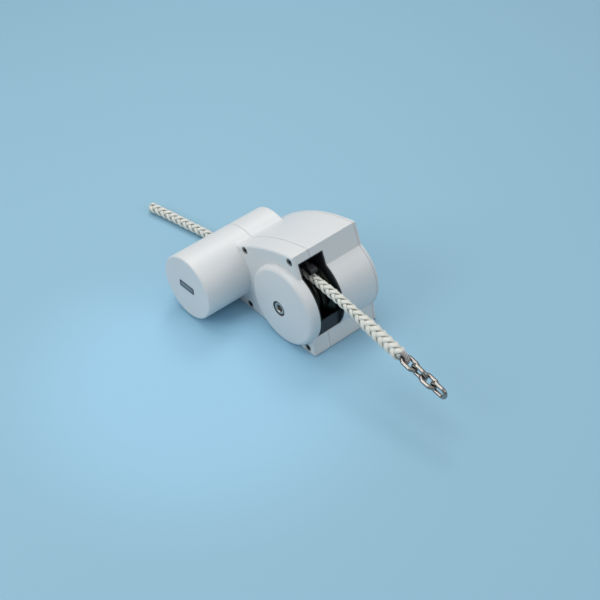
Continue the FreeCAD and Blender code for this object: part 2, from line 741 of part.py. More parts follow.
def stripper():
    """Finger that lifts rope and chain out of the gypsy's groove, carried by a bar from the bulkhead."""
    def polar(radius, past_top):
        angle = math.radians(90 + past_top)
        return at(radius * math.cos(angle), shaft_height + radius * math.sin(angle))
    tip = gypsy_slot_radius + 0.7
    foot = stripper_bar_z - stripper_bar_radius - 0.5
    reach = stripper_bar_radius + 1.5
    points = [polar(tip, 98), polar(gypsy_radius - 5, 98),
              at(stripper_bar_x - reach - 0.5, stripper_bar_z + 2 * reach + 1),
              at(stripper_bar_x - reach, foot), at(stripper_bar_x + reach, foot),
              polar(gypsy_radius - 2, 120), polar(tip + 2, 112)]
    plate = slab(Part.Face(Part.makePolygon(points + points[:1])), -stripper_half_width, stripper_half_width)
    bar = along_shaft(stripper_bar_radius, stripper_half_width - 1, bulkhead_far - 1, stripper_bar_x, stripper_bar_z)
    return merged(plate, bar)


def key(near, far, radius):
    """Parallel key half sunk into a shaft of the given radius."""
    half = 3.0
    return box((-half, near, shaft_height + radius - 3.0), (half, far, shaft_height + radius + 2.5))


key_places = [(-cone_hub_end + 1, -cone_root - 1, shaft_radius), (cone_root + 1, cone_hub_end - 3, shaft_radius),
              (final_near + 1, final_far - 1, shaft_radius + 1)]


def main_shaft():
    profile = [(0, thread_end), (thread_radius, thread_end), (thread_radius, -cone_hub_end + 1),
               (shaft_radius, -cone_hub_end + 1), (shaft_radius, bearing_far + 0.4),
               (shaft_radius + 3, bearing_far + 0.4), (shaft_radius + 3, final_near - pinion_extra),
               (shaft_radius + 1, final_near - pinion_extra), (shaft_radius + 1, final_far + 1.2),
               (shaft_radius, final_far + 1.2), (shaft_radius, shaft_far), (0, shaft_far)]
    shaft = turned(profile)
    for near, far, radius in key_places:
        shaft = shaft.cut(key(near, far, radius))
    groove = ring(shaft_radius + 2, shaft_radius, final_far, final_far + 1)
    return shaft.cut(groove)


def shaft_keys():
    return Part.makeCompound([key(near, far, radius) for near, far, radius in key_places])


def retaining_ring():
    ring_piece = ring(shaft_radius + 4, shaft_radius, final_far + 0.05, final_far + 0.95)
    return ring_piece.cut(box((-3, final_far - 1, 0), (3, final_far + 2, shaft_height)))


def gypsy():
    """Gypsy for rope and chain: a nest for the rope, a slot for upright links, pockets for flat ones."""
    mouth = gypsy_half_width - flange_land
    steps = 7
    nest = [math.radians(-20 - k * 140 / (steps - 1)) for k in range(steps)]
    nest = [(rope_line_radius + groove_radius * math.sin(a), groove_radius * math.cos(a)) for a in nest]
    right = [point for point in nest if point[1] > gypsy_slot_half]
    left = [point for point in nest if point[1] < -gypsy_slot_half]
    slot_rim = rope_line_radius - math.sqrt(groove_radius ** 2 - gypsy_slot_half ** 2)
    groove = [(gypsy_radius, mouth)] + right + [(slot_rim, gypsy_slot_half), (gypsy_slot_radius, gypsy_slot_half),
              (gypsy_slot_radius, -gypsy_slot_half), (slot_rim, -gypsy_slot_half)] + left + [(gypsy_radius, -mouth)]
    bore = shaft_radius + bush_wall
    chamfer = 1.5
    profile = [(bore, -gypsy_hub_half), (cone_root_radius, -gypsy_hub_half), (cone_mouth_radius, -gypsy_half_width),
               (gypsy_radius - chamfer, -gypsy_half_width), (gypsy_radius, -gypsy_half_width + chamfer)]
    profile += groove[::-1]
    profile += [(gypsy_radius, gypsy_half_width - chamfer), (gypsy_radius - chamfer, gypsy_half_width),
                (cone_mouth_radius, gypsy_half_width), (cone_root_radius, gypsy_hub_half), (bore, gypsy_hub_half)]
    body = turned(profile)
    half_width = chain_width / 2 + 0.4
    half_length = (chain_pitch + 2 * chain_wire) / 2 + 0.4
    floor = rope_line_radius - chain_wire / 2 - 2.5
    straight = half_length - half_width
    pocket = box((-straight, -half_width, floor), (straight, half_width, gypsy_radius + 5))
    for side in (-1, 1):
        pocket = pocket.fuse(Part.makeCylinder(half_width, gypsy_radius + 5 - floor,
                                               Vector(side * straight, 0, floor), UP))
    pocket = pocket.removeSplitter()
    pocket.translate(Vector(0, 0, shaft_height))
    for k in range(chain_pockets):
        turned_pocket = pocket.copy()
        turned_pocket.rotate(main_axis, SHAFT_WAY, (k + 0.5) * 360 / chain_pockets)
        body = body.cut(turned_pocket)
    return body


def gypsy_bush():
    return ring(shaft_radius + bush_wall, shaft_radius + running_fit, -gypsy_hub_half, gypsy_hub_half)


def clutch_cone(side, bore):
    """Cone of the clutch on one side of the gypsy."""
    face = gypsy_half_width
    taper = (cone_mouth_radius - cone_root_radius) / (gypsy_half_width - gypsy_hub_half)
    root = cone_root_radius + taper * (cone_root - gypsy_hub_half) - slip_gap
    mouth = cone_mouth_radius - slip_gap
    plate = face + 1.5
    profile = [(bore, cone_root), (root, cone_root), (mouth, face), (mouth, plate), (cone_hub_radius, plate),
               (cone_hub_radius, cone_hub_end), (bore, cone_hub_end)]
    cone = turned([(radius, side * y) for radius, y in profile])
    return cone


def outer_cone():
    cone = clutch_cone(-1, shaft_radius + running_fit)
    near, far, radius = key_places[0]
    keyway = box((-3.0 - slip_gap, -cone_hub_end - 1, shaft_height),
                 (3.0 + slip_gap, -cone_root + 1, shaft_height + radius + 2.5 + slip_gap))
    return cone.cut(keyway)


def inner_cone():
    cone = clutch_cone(1, shaft_radius)
    near, far, radius = key_places[1]
    return cone.cut(key(cone_root - 1, far, radius))


def disc_spring():
    """Disc spring between the clutch nut and the outer cone."""
    near, far = nut_back, -cone_hub_end
    middle = (near + far) / 2
    return turned([(shaft_radius, near), (nut_flange_radius, middle), (nut_flange_radius, far),
                   (shaft_radius, middle)])


def clutch_nut():
    """Clutch nut with a hexagon socket for the lever, its end flush with the domed face."""
    flange = turned([(thread_radius + running_fit, nut_back), (nut_flange_radius, nut_back),
                     (nut_flange_radius, nut_back - nut_flange_thickness + 1),
                     (nut_flange_radius - 1, nut_back - nut_flange_thickness),
                     (nut_radius, nut_back - nut_flange_thickness), (nut_radius, nut_face + 0.8),
                     (nut_radius - 0.8, nut_face), (0, nut_face), (0, thread_end - 0.4),
                     (thread_radius + running_fit, thread_end - 0.4)])
    lead_in = turned([(0, nut_face - 1), (nut_hex / 2 + 2.5, nut_face - 1), (nut_hex / 2 + 0.5, nut_face + 1),
                      (0, nut_face + 1)])
    return flange.cut(hexagon(nut_hex, nut_face - 1, nut_face + nut_hex_depth, 0, shaft_height)).cut(lead_in)


def nut_seal():
    near = -(drum_face_depth + dome_rise) + 0.7
    return ring(nut_radius + nut_seal_wall, nut_radius + running_fit, near, near + wall - 1)


def lip_seal():
    return ring(lip_seal_radius, shaft_radius + running_fit, bulkhead_near, seal_far)


def main_bearing():
    """Sealed bearing: rings with a sunk shield between them."""
    bore = shaft_radius + running_fit
    shield_in, shield_out, sunk = bore + 3, bearing_radius - 3, 0.8
    near, far = seal_far, bearing_far
    return turned([(bore, near), (shield_in, near), (shield_in, near + sunk), (shield_out, near + sunk),
                   (shield_out, near), (bearing_radius, near), (bearing_radius, far), (shield_out, far),
                   (shield_out, far - sunk), (shield_in, far - sunk), (shield_in, far), (bore, far)])


def shaft_bushes():
    """Bronze bushes: main shaft in the cover, layshafts in bulkhead and cover."""
    bushes = [ring(shaft_radius + bush_thickness, shaft_radius + running_fit, cover_boss_near + 0.5, shaft_far)]
    for axis, radius in lay_seats():
        bore = radius - bush_thickness + running_fit
        bushes.append(ring(radius, bore, bulkhead_near + 0.5, bulkhead_near + bush_length, axis.x, axis.z))
        bushes.append(ring(radius, bore, cover_boss_near + 0.5, lay_far, axis.x, axis.z))
    return Part.makeCompound(bushes)


def involute_gear(module, teeth, axis, near, far, first_tooth):
    """Spur gear blank with involute teeth, one tooth centred on the given direction."""
    pitch = module * teeth / 2
    base = pitch * math.cos(pressure_angle)
    tip, root = pitch + module, pitch - 1.25 * module

    def half_angle(radius):
        spread = math.acos(base / radius)
        return (math.pi / 2 / teeth - backlash / 4 / pitch + math.tan(pressure_angle) - pressure_angle
                - math.tan(spread) + spread)

    start = max(base, root)
    radii = [start, (start + tip) / 2, tip]
    flank = [(radius, half_angle(radius)) for radius in radii]
    if base > root:
        flank = [(root, half_angle(base))] + flank[1:]
    points = []
    for k in range(teeth):
        middle = first_tooth + 2 * math.pi * k / teeth
        for radius, angle in flank:
            points.append(axis + at(math.cos(middle - angle), math.sin(middle - angle)) * radius)
        for radius, angle in flank[::-1]:
            points.append(axis + at(math.cos(middle + angle), math.sin(middle + angle)) * radius)
    return slab(Part.Face(Part.makePolygon(points + points[:1])), near, far)


def direction(a, b):
    return math.atan2(b.z - a.z, b.x - a.x)


def meshing_gap(teeth, way):
    """First-tooth direction that leaves a gap on the given direction."""
    return way + math.pi / teeth


def webbed(gear, axis, near, far, hub, rim, holes, hole_radius, bore):
    """Bore, recess both faces and pierce the web of a gear."""
    depth = (far - near) / 4
    gear = gear.cut(ring(rim, hub, near - 1, near + depth, axis.x, axis.z))
    gear = gear.cut(ring(rim, hub, far - depth, far + 1, axis.x, axis.z))
    for k in range(holes):
        angle = 2 * math.pi * k / holes
        middle = axis + at(math.cos(angle), math.sin(angle)) * ((hub + rim) / 2)
        gear = gear.cut(along_shaft(hole_radius, near - 1, far + 1, middle.x, middle.z))
    return gear.cut(along_shaft(bore, near - 1, far + 1, axis.x, axis.z))


def final_gear():
    gear = involute_gear(final_module, final_teeth, main_axis, final_near, final_far,
                         direction(main_axis, second_axis))
    hub = shaft_radius + 9
    rim = final_module * (final_teeth / 2 - 1.25) - 5
    gear = webbed(gear, main_axis, final_near, final_far, hub, rim, 6, 7.0, shaft_radius + 1)
    near, far, radius = key_places[2]
    return gear.cut(key(final_near - 1, final_far + 1, radius))


def second_shaft():
    """Layshaft with the pinion that drives the final gear."""
    near, far = final_near - pinion_extra, final_far + pinion_extra
    pinion = involute_gear(final_module, final_pinion_teeth, second_axis, near, far,
                           meshing_gap(final_pinion_teeth, direction(second_axis, main_axis)))
    bar = along_shaft(second_shaft_radius, bulkhead_near + 0.5, lay_far, second_axis.x, second_axis.z)
    return merged(pinion, bar)


def second_gear():
    gear = involute_gear(second_module, second_teeth, second_axis, second_near, second_far,
                         direction(second_axis, first_axis))
    rim = second_module * (second_teeth / 2 - 1.25) - 4
    return webbed(gear, second_axis, second_near, second_far, second_shaft_radius + 6, rim, 5, 5.0,
                  second_shaft_radius)


def first_shaft():
    """Layshaft with the pinion that drives the second gear."""
    near, far = second_near - pinion_extra, second_far + pinion_extra
    pinion = involute_gear(second_module, second_pinion_teeth, first_axis, near, far,
                           meshing_gap(second_pinion_teeth, direction(first_axis, second_axis)))
    bar = along_shaft(first_shaft_radius, bulkhead_near + 0.5, lay_far, first_axis.x, first_axis.z)
    return merged(pinion, bar)


def first_gear():
    gear = involute_gear(first_module, first_teeth, first_axis, first_near, first_far,
                         direction(first_axis, motor_axis))
    rim = first_module * (first_teeth / 2 - 1.25) - 3.5
    return webbed(gear, first_axis, first_near, first_far, first_shaft_radius + 5, rim, 5, 4.0, first_shaft_radius)


def motor_pinion():
    pinion = involute_gear(first_module, motor_pinion_teeth, motor_axis, first_near - pinion_extra,
                           first_far + pinion_extra,
                           meshing_gap(motor_pinion_teeth, direction(motor_axis, first_axis)))
    return pinion.cut(along_shaft(motor_shaft_radius, first_near - 2, first_far + 2, motor_x, motor_z))


bell_near = bulkhead_near - end_bell_thickness
can_near = bell_near - can_length
rear_bell_near = can_near - end_bell_thickness


def motor_can():
    return ring(can_radius, can_radius - can_wall, can_near, bell_near, motor_x, motor_z)


def drive_end_bell():
    """Motor's front plate with the spigot that locates it in the bulkhead."""
    plate = turned([(motor_shaft_radius + 1, bell_near), (can_radius, bell_near), (can_radius, bulkhead_near - 1),
                    (can_radius - 1, bulkhead_near), (motor_spigot_radius, bulkhead_near),
                    (motor_spigot_radius, bulkhead_far), (motor_bearing_radius, bulkhead_far),
                    (motor_bearing_radius, bulkhead_far - motor_bearing_width),
                    (motor_shaft_radius + 1, bulkhead_far - motor_bearing_width)], motor_x, motor_z)
    for x, z in motor_screw_places():
        plate = plate.cut(along_shaft(screw_radius, bell_near + 1, bulkhead_near + 1, x, z))
    return plate


def rear_end_bell():
    plate = turned([(0, rear_bell_near), (can_radius - 3, rear_bell_near), (can_radius, rear_bell_near + 3),
                    (can_radius, can_near), (motor_bearing_radius, can_near),
                    (motor_bearing_radius, can_near - motor_bearing_width), (0, can_near - motor_bearing_width)],
                   motor_x, motor_z)
    for x, z in terminal_places():
        plate = plate.cut(along_shaft(screw_radius, rear_bell_near - 1, can_near + 1, x, z))
    return plate


def terminal_places():
    return [(motor_x + side * 16.0, motor_z + 14.0) for side in (-1, 1)]


def motor_terminals():
    """Two threaded studs with a nut each, for the motor leads."""
    studs = []
    for x, z in terminal_places():
        stud = along_shaft(screw_radius, rear_bell_near - terminal_stud, can_near, x, z)
        studs.append(merged(stud, hexagon(10.0, rear_bell_near - 5, rear_bell_near, x, z)))
    return Part.makeCompound(studs)


def motor_bearings():
    bore = motor_shaft_radius + running_fit
    front = ring(motor_bearing_radius, bore, bulkhead_far - motor_bearing_width, bulkhead_far, motor_x, motor_z)
    rear = ring(motor_bearing_radius, bore, can_near - motor_bearing_width, can_near, motor_x, motor_z)
    return Part.makeCompound([front, rear])


armature_far = bell_near - armature_end_room
armature_near = armature_far - armature_length
magnet_radius = can_radius - can_wall
armature_radius = magnet_radius - magnet_thickness - air_gap


def field_magnets():
    """Two arc magnets glued into the can."""
    shell = ring(magnet_radius, magnet_radius - magnet_thickness, armature_near - 3, armature_far + 3, motor_x, motor_z)
    gap = 14.0
    slot = box((motor_x - gap, armature_near - 4, motor_z - can_radius),
               (motor_x + gap, armature_far + 4, motor_z + can_radius))
    return Part.makeCompound(shell.cut(slot).Solids)


def armature_core():
    """Stack of slotted steel sheets."""
    core = ring(armature_radius, motor_shaft_radius, armature_near, armature_far, motor_x, motor_z)
    for k in range(armature_slots):
        slot = box((-1.5, armature_near - 1, armature_radius - 9), (1.5, armature_far + 1, armature_radius + 1))
        slot.rotate(Vector(0, 0, 0), SHAFT_WAY, k * 360 / armature_slots)
        slot.translate(motor_axis)
        core = core.cut(slot)
    return core


def armature_windings():
    """Ends of the copper windings, front and back of the core."""
    inner, outer, reach = motor_shaft_radius + 3, armature_radius - 2, 6.5
    pieces = []
    for start, side in ((armature_far, 1), (armature_near, -1)):
        profile = [(inner, start), (outer, start), (outer, start + side * reach * 0.6),
                   (outer - 3, start + side * reach), (inner + 3, start + side * reach),
                   (inner, start + side * reach * 0.6)]
        pieces.append(turned(profile, motor_x, motor_z))
    return Part.makeCompound(pieces)


commutator_far = armature_near - commutator_gap
commutator_near = commutator_far - commutator_length


def commutator():
    drum = ring(commutator_radius, motor_shaft_radius, commutator_near, commutator_far, motor_x, motor_z)
    for k in range(armature_slots):
        slit = box((-0.4, commutator_near - 1, commutator_radius - 2), (0.4, commutator_far + 1, commutator_radius + 1))
        slit.rotate(Vector(0, 0, 0), SHAFT_WAY, (k + 0.5) * 360 / armature_slots)
        slit.translate(motor_axis)
        drum = drum.cut(slit)
    return drum


def motor_shaft():
    return along_shaft(motor_shaft_radius, can_near - motor_bearing_width + 0.4, first_far + 2, motor_x, motor_z)


def brush_boxes(grow):
    """Blocks on both sides of the commutator, as long as the brushes."""
    middle = (commutator_near + commutator_far) / 2
    half = brush_width / 2 + grow
    start = commutator_radius + slip_gap
    pieces = []
    for side in (-1, 1):
        ends = sorted((motor_x + side * start, motor_x + side * (start + brush_length)))
        pieces.append(box((ends[0], middle - half, motor_z - half), (ends[1], middle + half, motor_z + half)))
    return pieces


def carbon_brushes():
    return Part.makeCompound(brush_boxes(0))


def brush_holder():
    """Moulded ring with a guide round each brush."""
    hoop = ring(magnet_radius, magnet_radius - 6, commutator_near - 1, commutator_far + 1, motor_x, motor_z)
    guides = brush_boxes(1.6)
    reach = box((motor_x - magnet_radius + 2, commutator_near, motor_z - brush_width / 2 - 1.6),
                (motor_x + magnet_radius - 2, commutator_far, motor_z + brush_width / 2 + 1.6))
    centre = along_shaft(commutator_radius + 3, commutator_near - 2, commutator_far + 2, motor_x, motor_z)
    holder = hoop.fuse(reach.cut(centre)).fuse([piece.cut(centre) for piece in guides])
    for piece in brush_boxes(0):
        holder = holder.cut(piece)
    return holder.removeSplitter()


def motor_screws():
    screws = []
    for x, z in motor_screw_places():
        head = along_shaft(screw_head_radius, bulkhead_far, bulkhead_far + screw_head_height, x, z)
        shank = along_shaft(screw_radius, bell_near + 1, bulkhead_far, x, z)
        socket = hexagon(screw_hex, bulkhead_far + 2.4, bulkhead_far + screw_head_height + 1, x, z)
        screws.append(merged(head, shank).cut(socket))
    return Part.makeCompound(screws)


def pressure_arm():
    """Arm that holds the rope down in the gypsy: hub, tapered beam with a rib, round nose."""
    tip = arm_tip()
    way = direction(at(arm_pivot_x, arm_pivot_z), tip)
    side = at(-math.sin(way), math.cos(way))
    pivot = at(arm_pivot_x, arm_pivot_z)
    corners = [pivot + side * (arm_hub_radius - 0.3), pivot - side * (arm_hub_radius - 2.5),
               tip - side * (arm_tip_radius - 1.5), tip + side * (arm_tip_radius - 0.3)]
    beam = slab(Part.Face(Part.makePolygon(corners + corners[:1])), -arm_half_width, arm_half_width)
    hub = along_shaft(arm_hub_radius, -arm_half_width, arm_half_width, arm_pivot_x, arm_pivot_z)
    nose = along_shaft(arm_tip_radius, -arm_half_width, arm_half_width, tip.x, tip.z)
    arm = merged(beam, hub, nose)
    pocket = [pivot + side * 1.0 + at(9, 0), pivot + side * 9 + at(9, 0), tip + side * 9 - at(8, 0),
              tip + side * 1.0 - at(8, 0)]
    hollow = Part.Face(Part.makePolygon(pocket + pocket[:1]))
    for inner, outer in ((-arm_half_width - 1, -arm_half_width + 3), (arm_half_width - 3, arm_half_width + 1)):
        arm = arm.cut(slab(hollow, inner, outer))
    return arm.cut(along_shaft(arm_pin_radius + running_fit, -arm_half_width - 1, arm_half_width + 1,
                               arm_pivot_x, arm_pivot_z))


def arm_pin():
    """Headed pin that the pressure arm turns on, held in the bulkhead."""
    head = along_shaft(arm_pin_radius + 1.8, -arm_half_width - 2.3, -arm_half_width - 0.3, arm_pivot_x, arm_pivot_z)
    bar = along_shaft(arm_pin_radius, -arm_half_width - 2.3, bulkhead_far + 3, arm_pivot_x, arm_pivot_z)
    return merged(head, bar)


def arm_tip():
    way = front_route[1] - front_route[0]
    rise = way.z / way.x
    rope_z = front_route[0].z + rise * (arm_tip_x - front_route[0].x)
    return at(arm_tip_x, rope_z + (rope_radius + body_gap + arm_tip_radius) / math.cos(math.atan(rise)))


def arm_spring():
    """Leaf spring under the liner's roof, resting on the arm."""
    tip = arm_tip()
    thick = 0.8
    high = liner_roof_z - 0.1
    rest_x = 4.0
    share = (rest_x - arm_pivot_x) / (tip.x - arm_pivot_x)
    rest_z = arm_pivot_z + arm_hub_radius + share * (tip.z + arm_tip_radius - arm_pivot_z - arm_hub_radius) + 0.5
    start_x = liner_rear_x + 3
    lower = [at(start_x, high - thick), at(arm_pivot_x, high - thick), at(rest_x, rest_z)]
    upper = [at(rest_x + 4, rest_z + 1.5), at(rest_x + 4, rest_z + 1.5 + thick), at(rest_x, rest_z + thick),
             at(arm_pivot_x, high), at(start_x, high)]
    points = lower + upper
    return slab(Part.Face(Part.makePolygon(points + points[:1])), -4.0, 4.0)


def gland_parts():
    """Cable gland in the back of the motor cover: body, dome nut and rubber insert."""
    thread_start = gland_wall_x + wall + 6
    face_x = gland_wall_x - gland_pad
    back = Vector(-1, 0, 0)
    thread = Part.makeCylinder(gland_radius, thread_start - face_x, Vector(face_x, gland_y, gland_z), FORWARD)
    flange_x = face_x - gland_flange
    nut_x = flange_x - seat_gap - gland_nut_length
    flange = gland_hexagon(gland_flats, flange_x, face_x)
    neck = Part.makeCylinder(gland_radius - 0.5, 6, Vector(flange_x, gland_y, gland_z), back)
    body = merged(thread, flange, neck).cut(
        Part.makeCylinder(gland_insert_radius, 40, Vector(face_x - 12, gland_y, gland_z), FORWARD))
    nut = gland_hexagon(gland_nut_flats, nut_x, flange_x - seat_gap)
    nut = nut.cut(Part.makeCylinder(gland_radius - 0.5, 20, Vector(face_x - 10.2, gland_y, gland_z), FORWARD))
    nut = nut.cut(Part.makeCylinder(gland_insert_radius, 20, Vector(face_x - 15, gland_y, gland_z), FORWARD))
    insert = Part.makeCylinder(gland_insert_radius, 17, Vector(face_x - 13, gland_y, gland_z), FORWARD)
    insert = insert.cut(Part.makeCylinder(gland_bore, 30, Vector(face_x - 16, gland_y, gland_z), FORWARD))
    return body, nut, insert


def gland_hexagon(across_flats, start_x, end_x):
    reach = across_flats / 2 / math.cos(math.pi / 6)
    corners = [Vector(start_x, gland_y + reach * math.cos(k * math.pi / 3), gland_z + reach * math.sin(k * math.pi / 3))
               for k in range(6)]
    return Part.Face(Part.makePolygon(corners + corners[:1])).extrude(FORWARD * (end_x - start_x))


def gland_boss():
    return Part.makeCylinder(gland_radius + 4, wall + 8 + gland_pad,
                             Vector(gland_wall_x - gland_pad, gland_y, gland_z), FORWARD)


# Rope: leaves the gypsy's top for the chain, and its back for the deck
front_angle = math.radians(3)
back_angle = math.radians(62)


def on_gypsy(past_top):
    """Point of the rope's line on the gypsy, at an angle past the top."""
    return at(-rope_line_radius * math.sin(past_top), shaft_height + rope_line_radius * math.cos(past_top))


back_way = at(-math.cos(back_angle), -math.sin(back_angle))
tail_start = on_gypsy(back_angle) + back_way * 25
front_way = at(math.cos(front_angle), -math.sin(front_angle))
splice_start = at(splice_start_x, rope_top_z - splice_start_drop)
chain_bar = at(chain_start_x, rope_top_z - chain_start_drop)
front_route = [on_gypsy(-front_angle), on_gypsy(-front_angle) + front_way * rope_lead,
               at(91, rope_top_z - 6.9), splice_start]
splice_route = [splice_start, at(136, rope_top_z - 15.4), at(180, rope_top_z - 24.6), chain_bar]
tail_route = [tail_start, Vector(-71.3, 0, 30.2), Vector(-109.9, 0, 7.1), Vector(-152, 0.5, 7.1),
              Vector(-200, 14, 7.1), Vector(-243, 28, 7.1), Vector(-292, 18, 7.1), Vector(-338, 10.5, 7.1),
              Vector(-372, 3, 7.1)]


def cord_path(points):
    """Straight runs joined by the largest tangent arcs that the runs allow."""
    edges, radii = [], []
    here = points[0]
    for k in range(1, len(points) - 1):
        before, corner, after = points[k - 1], points[k], points[k + 1]
        into = (corner - before).normalize()
        out = (after - corner).normalize()
        half_turn = into.getAngle(out) / 2
        short = min((corner - before).Length, (after - corner).Length)
        radius = 0.45 * short / math.tan(half_turn)
        set_back = 0.45 * short
        start, end = corner - into * set_back, corner + out * set_back
        inward = (out - into).normalize()
        middle = corner + inward * (radius / math.cos(half_turn) - radius)
        edges.append(Part.LineSegment(here, start).toShape())
        edges.append(Part.Arc(start, middle, end).toShape())
        here = end
        radii.append(round(radius, 1))
    edges.append(Part.LineSegment(here, points[-1]).toShape())
    print("bend radii", radii)
    return Part.Wire(edges)


def tube(path, radius):
    start = path.Edges[0]
    way = start.tangentAt(start.FirstParameter)
    section = Part.Wire(Part.makeCircle(radius, path.OrderedVertexes[0].Point, way))
    solid = path.makePipeShell([section], True, False, 2)
    print("tube volume", round(solid.Volume), "of", round(math.pi * radius ** 2 * path.Length))
    return solid


def rope_front():
    return tube(cord_path(front_route), rope_radius)


def rope_tail():
    return tube(cord_path(tail_route), rope_radius)


def rope_wrap():
    """Rope in the gypsy's groove, over the top and down the back."""
    first, last = on_gypsy(-front_angle), on_gypsy(back_angle)
    middle = on_gypsy((back_angle - front_angle) / 2)
    path = Part.Wire([Part.Arc(first, middle, last).toShape(), Part.LineSegment(last, tail_start).toShape()])
    return tube(path, rope_radius)


# Splice and chain, ahead of the rope
chain_slopes = [math.radians(angle) for angle in (11.5, 10.5, 10, 10)]
eye_radius = chain_wire / 2 + seat_gap + eye_strand


def rope_splice():
    """Thick tapered splice, with an eye round the bar of the first link."""
    path = cord_path(splice_route)
    blunt = chain_wire / 2 + seat_gap
    run = path.Length - blunt
    swell = [(0, rope_radius), (0.08, rope_radius + 0.4), (0.2, splice_radius - 1.2), (0.33, splice_radius - 0.3),
             (0.5, splice_radius), (0.75, splice_radius), (0.91, splice_radius), (0.96, splice_radius - 0.8),
             (0.985, splice_radius - 2.2), (1, splice_radius - 4)]
    rings = []
    for share, radius in swell:
        middle, way = place_on(path, run * share)
        rings.append(Part.Wire(Part.makeCircle(radius, middle, way)))
    body = Part.makeLoft(rings, True, False)
    eye = Part.makeTorus(eye_radius, eye_strand, chain_bar, SHAFT_WAY)
    clear = Part.makeCylinder(blunt, 4 * splice_radius, chain_bar - SHAFT_WAY * (2 * splice_radius), SHAFT_WAY)
    return merged(body, eye).cut(clear)


def place_on(path, run):
    """Point and way at a distance along a wire."""
    for edge in path.OrderedEdges:
        if run <= edge.Length:
            break
        run -= edge.Length
    parameter = edge.getParameterByLength(min(run, edge.Length))
    way = edge.tangentAt(parameter)
    if way.x < 0:
        way = -way
    return edge.valueAt(parameter), way


def chain_link(start, way, upright):
    """One short link whose first bar is centred on start."""
    bend = (chain_width - chain_wire) / 2
    straight = chain_pitch + chain_wire - 2 * bend
    across = SHAFT_WAY
    if upright:
        across = way.cross(SHAFT_WAY)
    near = start + way * bend
    far = near + way * straight
    path = Part.Wire([Part.Arc(near + across * bend, start, near - across * bend).toShape(),
                      Part.LineSegment(near - across * bend, far - across * bend).toShape(),
                      Part.Arc(far - across * bend, far + way * bend, far + across * bend).toShape(),
                      Part.LineSegment(far + across * bend, near + across * bend).toShape()])
    section = Part.Wire(Part.makeCircle(chain_wire / 2, near + across * bend, way))
    link = path.makePipeShell([section], True, False, 2)
    return link, start + way * (chain_pitch + chain_wire)


def chain_links():
    links = []
    bar = chain_bar
    for k, slope in enumerate(chain_slopes):
        way = at(math.cos(slope), -math.sin(slope))
        link, last_bar = chain_link(bar, way, k % 2 == 1)
        links.append(link)
        next_slope = chain_slopes[min(k + 1, len(chain_slopes) - 1)]
        bar = last_bar - at(math.cos(next_slope), -math.sin(next_slope)) * (chain_wire + 0.1)
    return links


def save(name, shape):
    shape.exportStep("parts/" + name + ".step")
    print(name, len(shape.Solids), round(shape.Volume), shape.isValid())


side_half, cover_half = near_halves()
save("near_casing", side_half)
save("motor_cover", cover_half)
save("far_casing", far_casing())
save("gearbox_cover", gearbox_cover())
save("gearbox_seal", gearbox_seal())
save("gearbox_cover_screws", countersunk_screws())
save("casing_screws", casing_screws())
save("base_gasket", base_gasket())
save("fairlead_liner", fairlead_liner())
save("stripper", stripper())
save("main_shaft", main_shaft())
save("shaft_keys", shaft_keys())
save("retaining_ring", retaining_ring())
save("gypsy", gypsy())
save("gypsy_bush", gypsy_bush())
save("outer_clutch_cone", outer_cone())
save("inner_clutch_cone", inner_cone())
save("disc_spring", disc_spring())
save("clutch_nut", clutch_nut())
save("nut_seal", nut_seal())
save("shaft_lip_seal", lip_seal())
save("main_bearing", main_bearing())
save("shaft_bushes", shaft_bushes())
save("final_gear", final_gear())
save("second_shaft", second_shaft())
save("second_gear", second_gear())
save("first_shaft", first_shaft())
save("first_gear", first_gear())
save("motor_pinion", motor_pinion())
save("motor_can", motor_can())
save("drive_end_bell", drive_end_bell())
save("rear_end_bell", rear_end_bell())
save("motor_terminals", motor_terminals())
save("motor_bearings", motor_bearings())
save("field_magnets", field_magnets())
save("armature_core", armature_core())
save("armature_windings", armature_windings())
save("commutator", commutator())
save("motor_shaft", motor_shaft())
save("carbon_brushes", carbon_brushes())
save("brush_holder", brush_holder())
save("motor_screws", motor_screws())
save("pressure_arm", pressure_arm())
save("arm_pin", arm_pin())
save("arm_spring", arm_spring())
gland_body, gland_nut, gland_insert = gland_parts()
save("cable_gland", gland_body)
save("gland_nut", gland_nut)
save("gland_insert", gland_insert)
save("rope_front", rope_front())
save("rope_wrap", rope_wrap())
save("rope_tail", rope_tail())
save("rope_splice", rope_splice())
for number, link in enumerate(chain_links(), 1):
    save("chain_link_%d" % number, link)
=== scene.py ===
"""Looks of the anchor windlass: white moulded case, black liner, bronze gypsy, and a plaited rode
spliced to chain.

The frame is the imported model's: +X to the bow, +Y along the shaft to the gearbox, +Z up, deck at
Z = 0, in metres. Sizes of the rode, the case and the plate are written in millimetres, and become
metres where they are multiplied by MM.
"""
import json
import math

import bmesh
import bpy
from mathutils import Matrix, Vector


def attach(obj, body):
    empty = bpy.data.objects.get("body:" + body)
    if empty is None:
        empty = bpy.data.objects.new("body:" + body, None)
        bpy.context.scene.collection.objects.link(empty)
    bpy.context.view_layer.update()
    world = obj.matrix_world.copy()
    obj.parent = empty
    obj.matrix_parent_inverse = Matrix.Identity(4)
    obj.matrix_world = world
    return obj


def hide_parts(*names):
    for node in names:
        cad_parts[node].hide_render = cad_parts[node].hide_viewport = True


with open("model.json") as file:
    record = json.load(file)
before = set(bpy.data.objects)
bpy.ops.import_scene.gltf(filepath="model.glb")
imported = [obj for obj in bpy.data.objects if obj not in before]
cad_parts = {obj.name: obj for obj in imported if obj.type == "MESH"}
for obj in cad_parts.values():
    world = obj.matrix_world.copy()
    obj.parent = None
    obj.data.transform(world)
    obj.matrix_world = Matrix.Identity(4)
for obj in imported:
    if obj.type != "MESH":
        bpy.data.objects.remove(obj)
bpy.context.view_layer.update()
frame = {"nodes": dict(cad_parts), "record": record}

MM = 0.001
SHAFT = Vector((0, 1, 0))

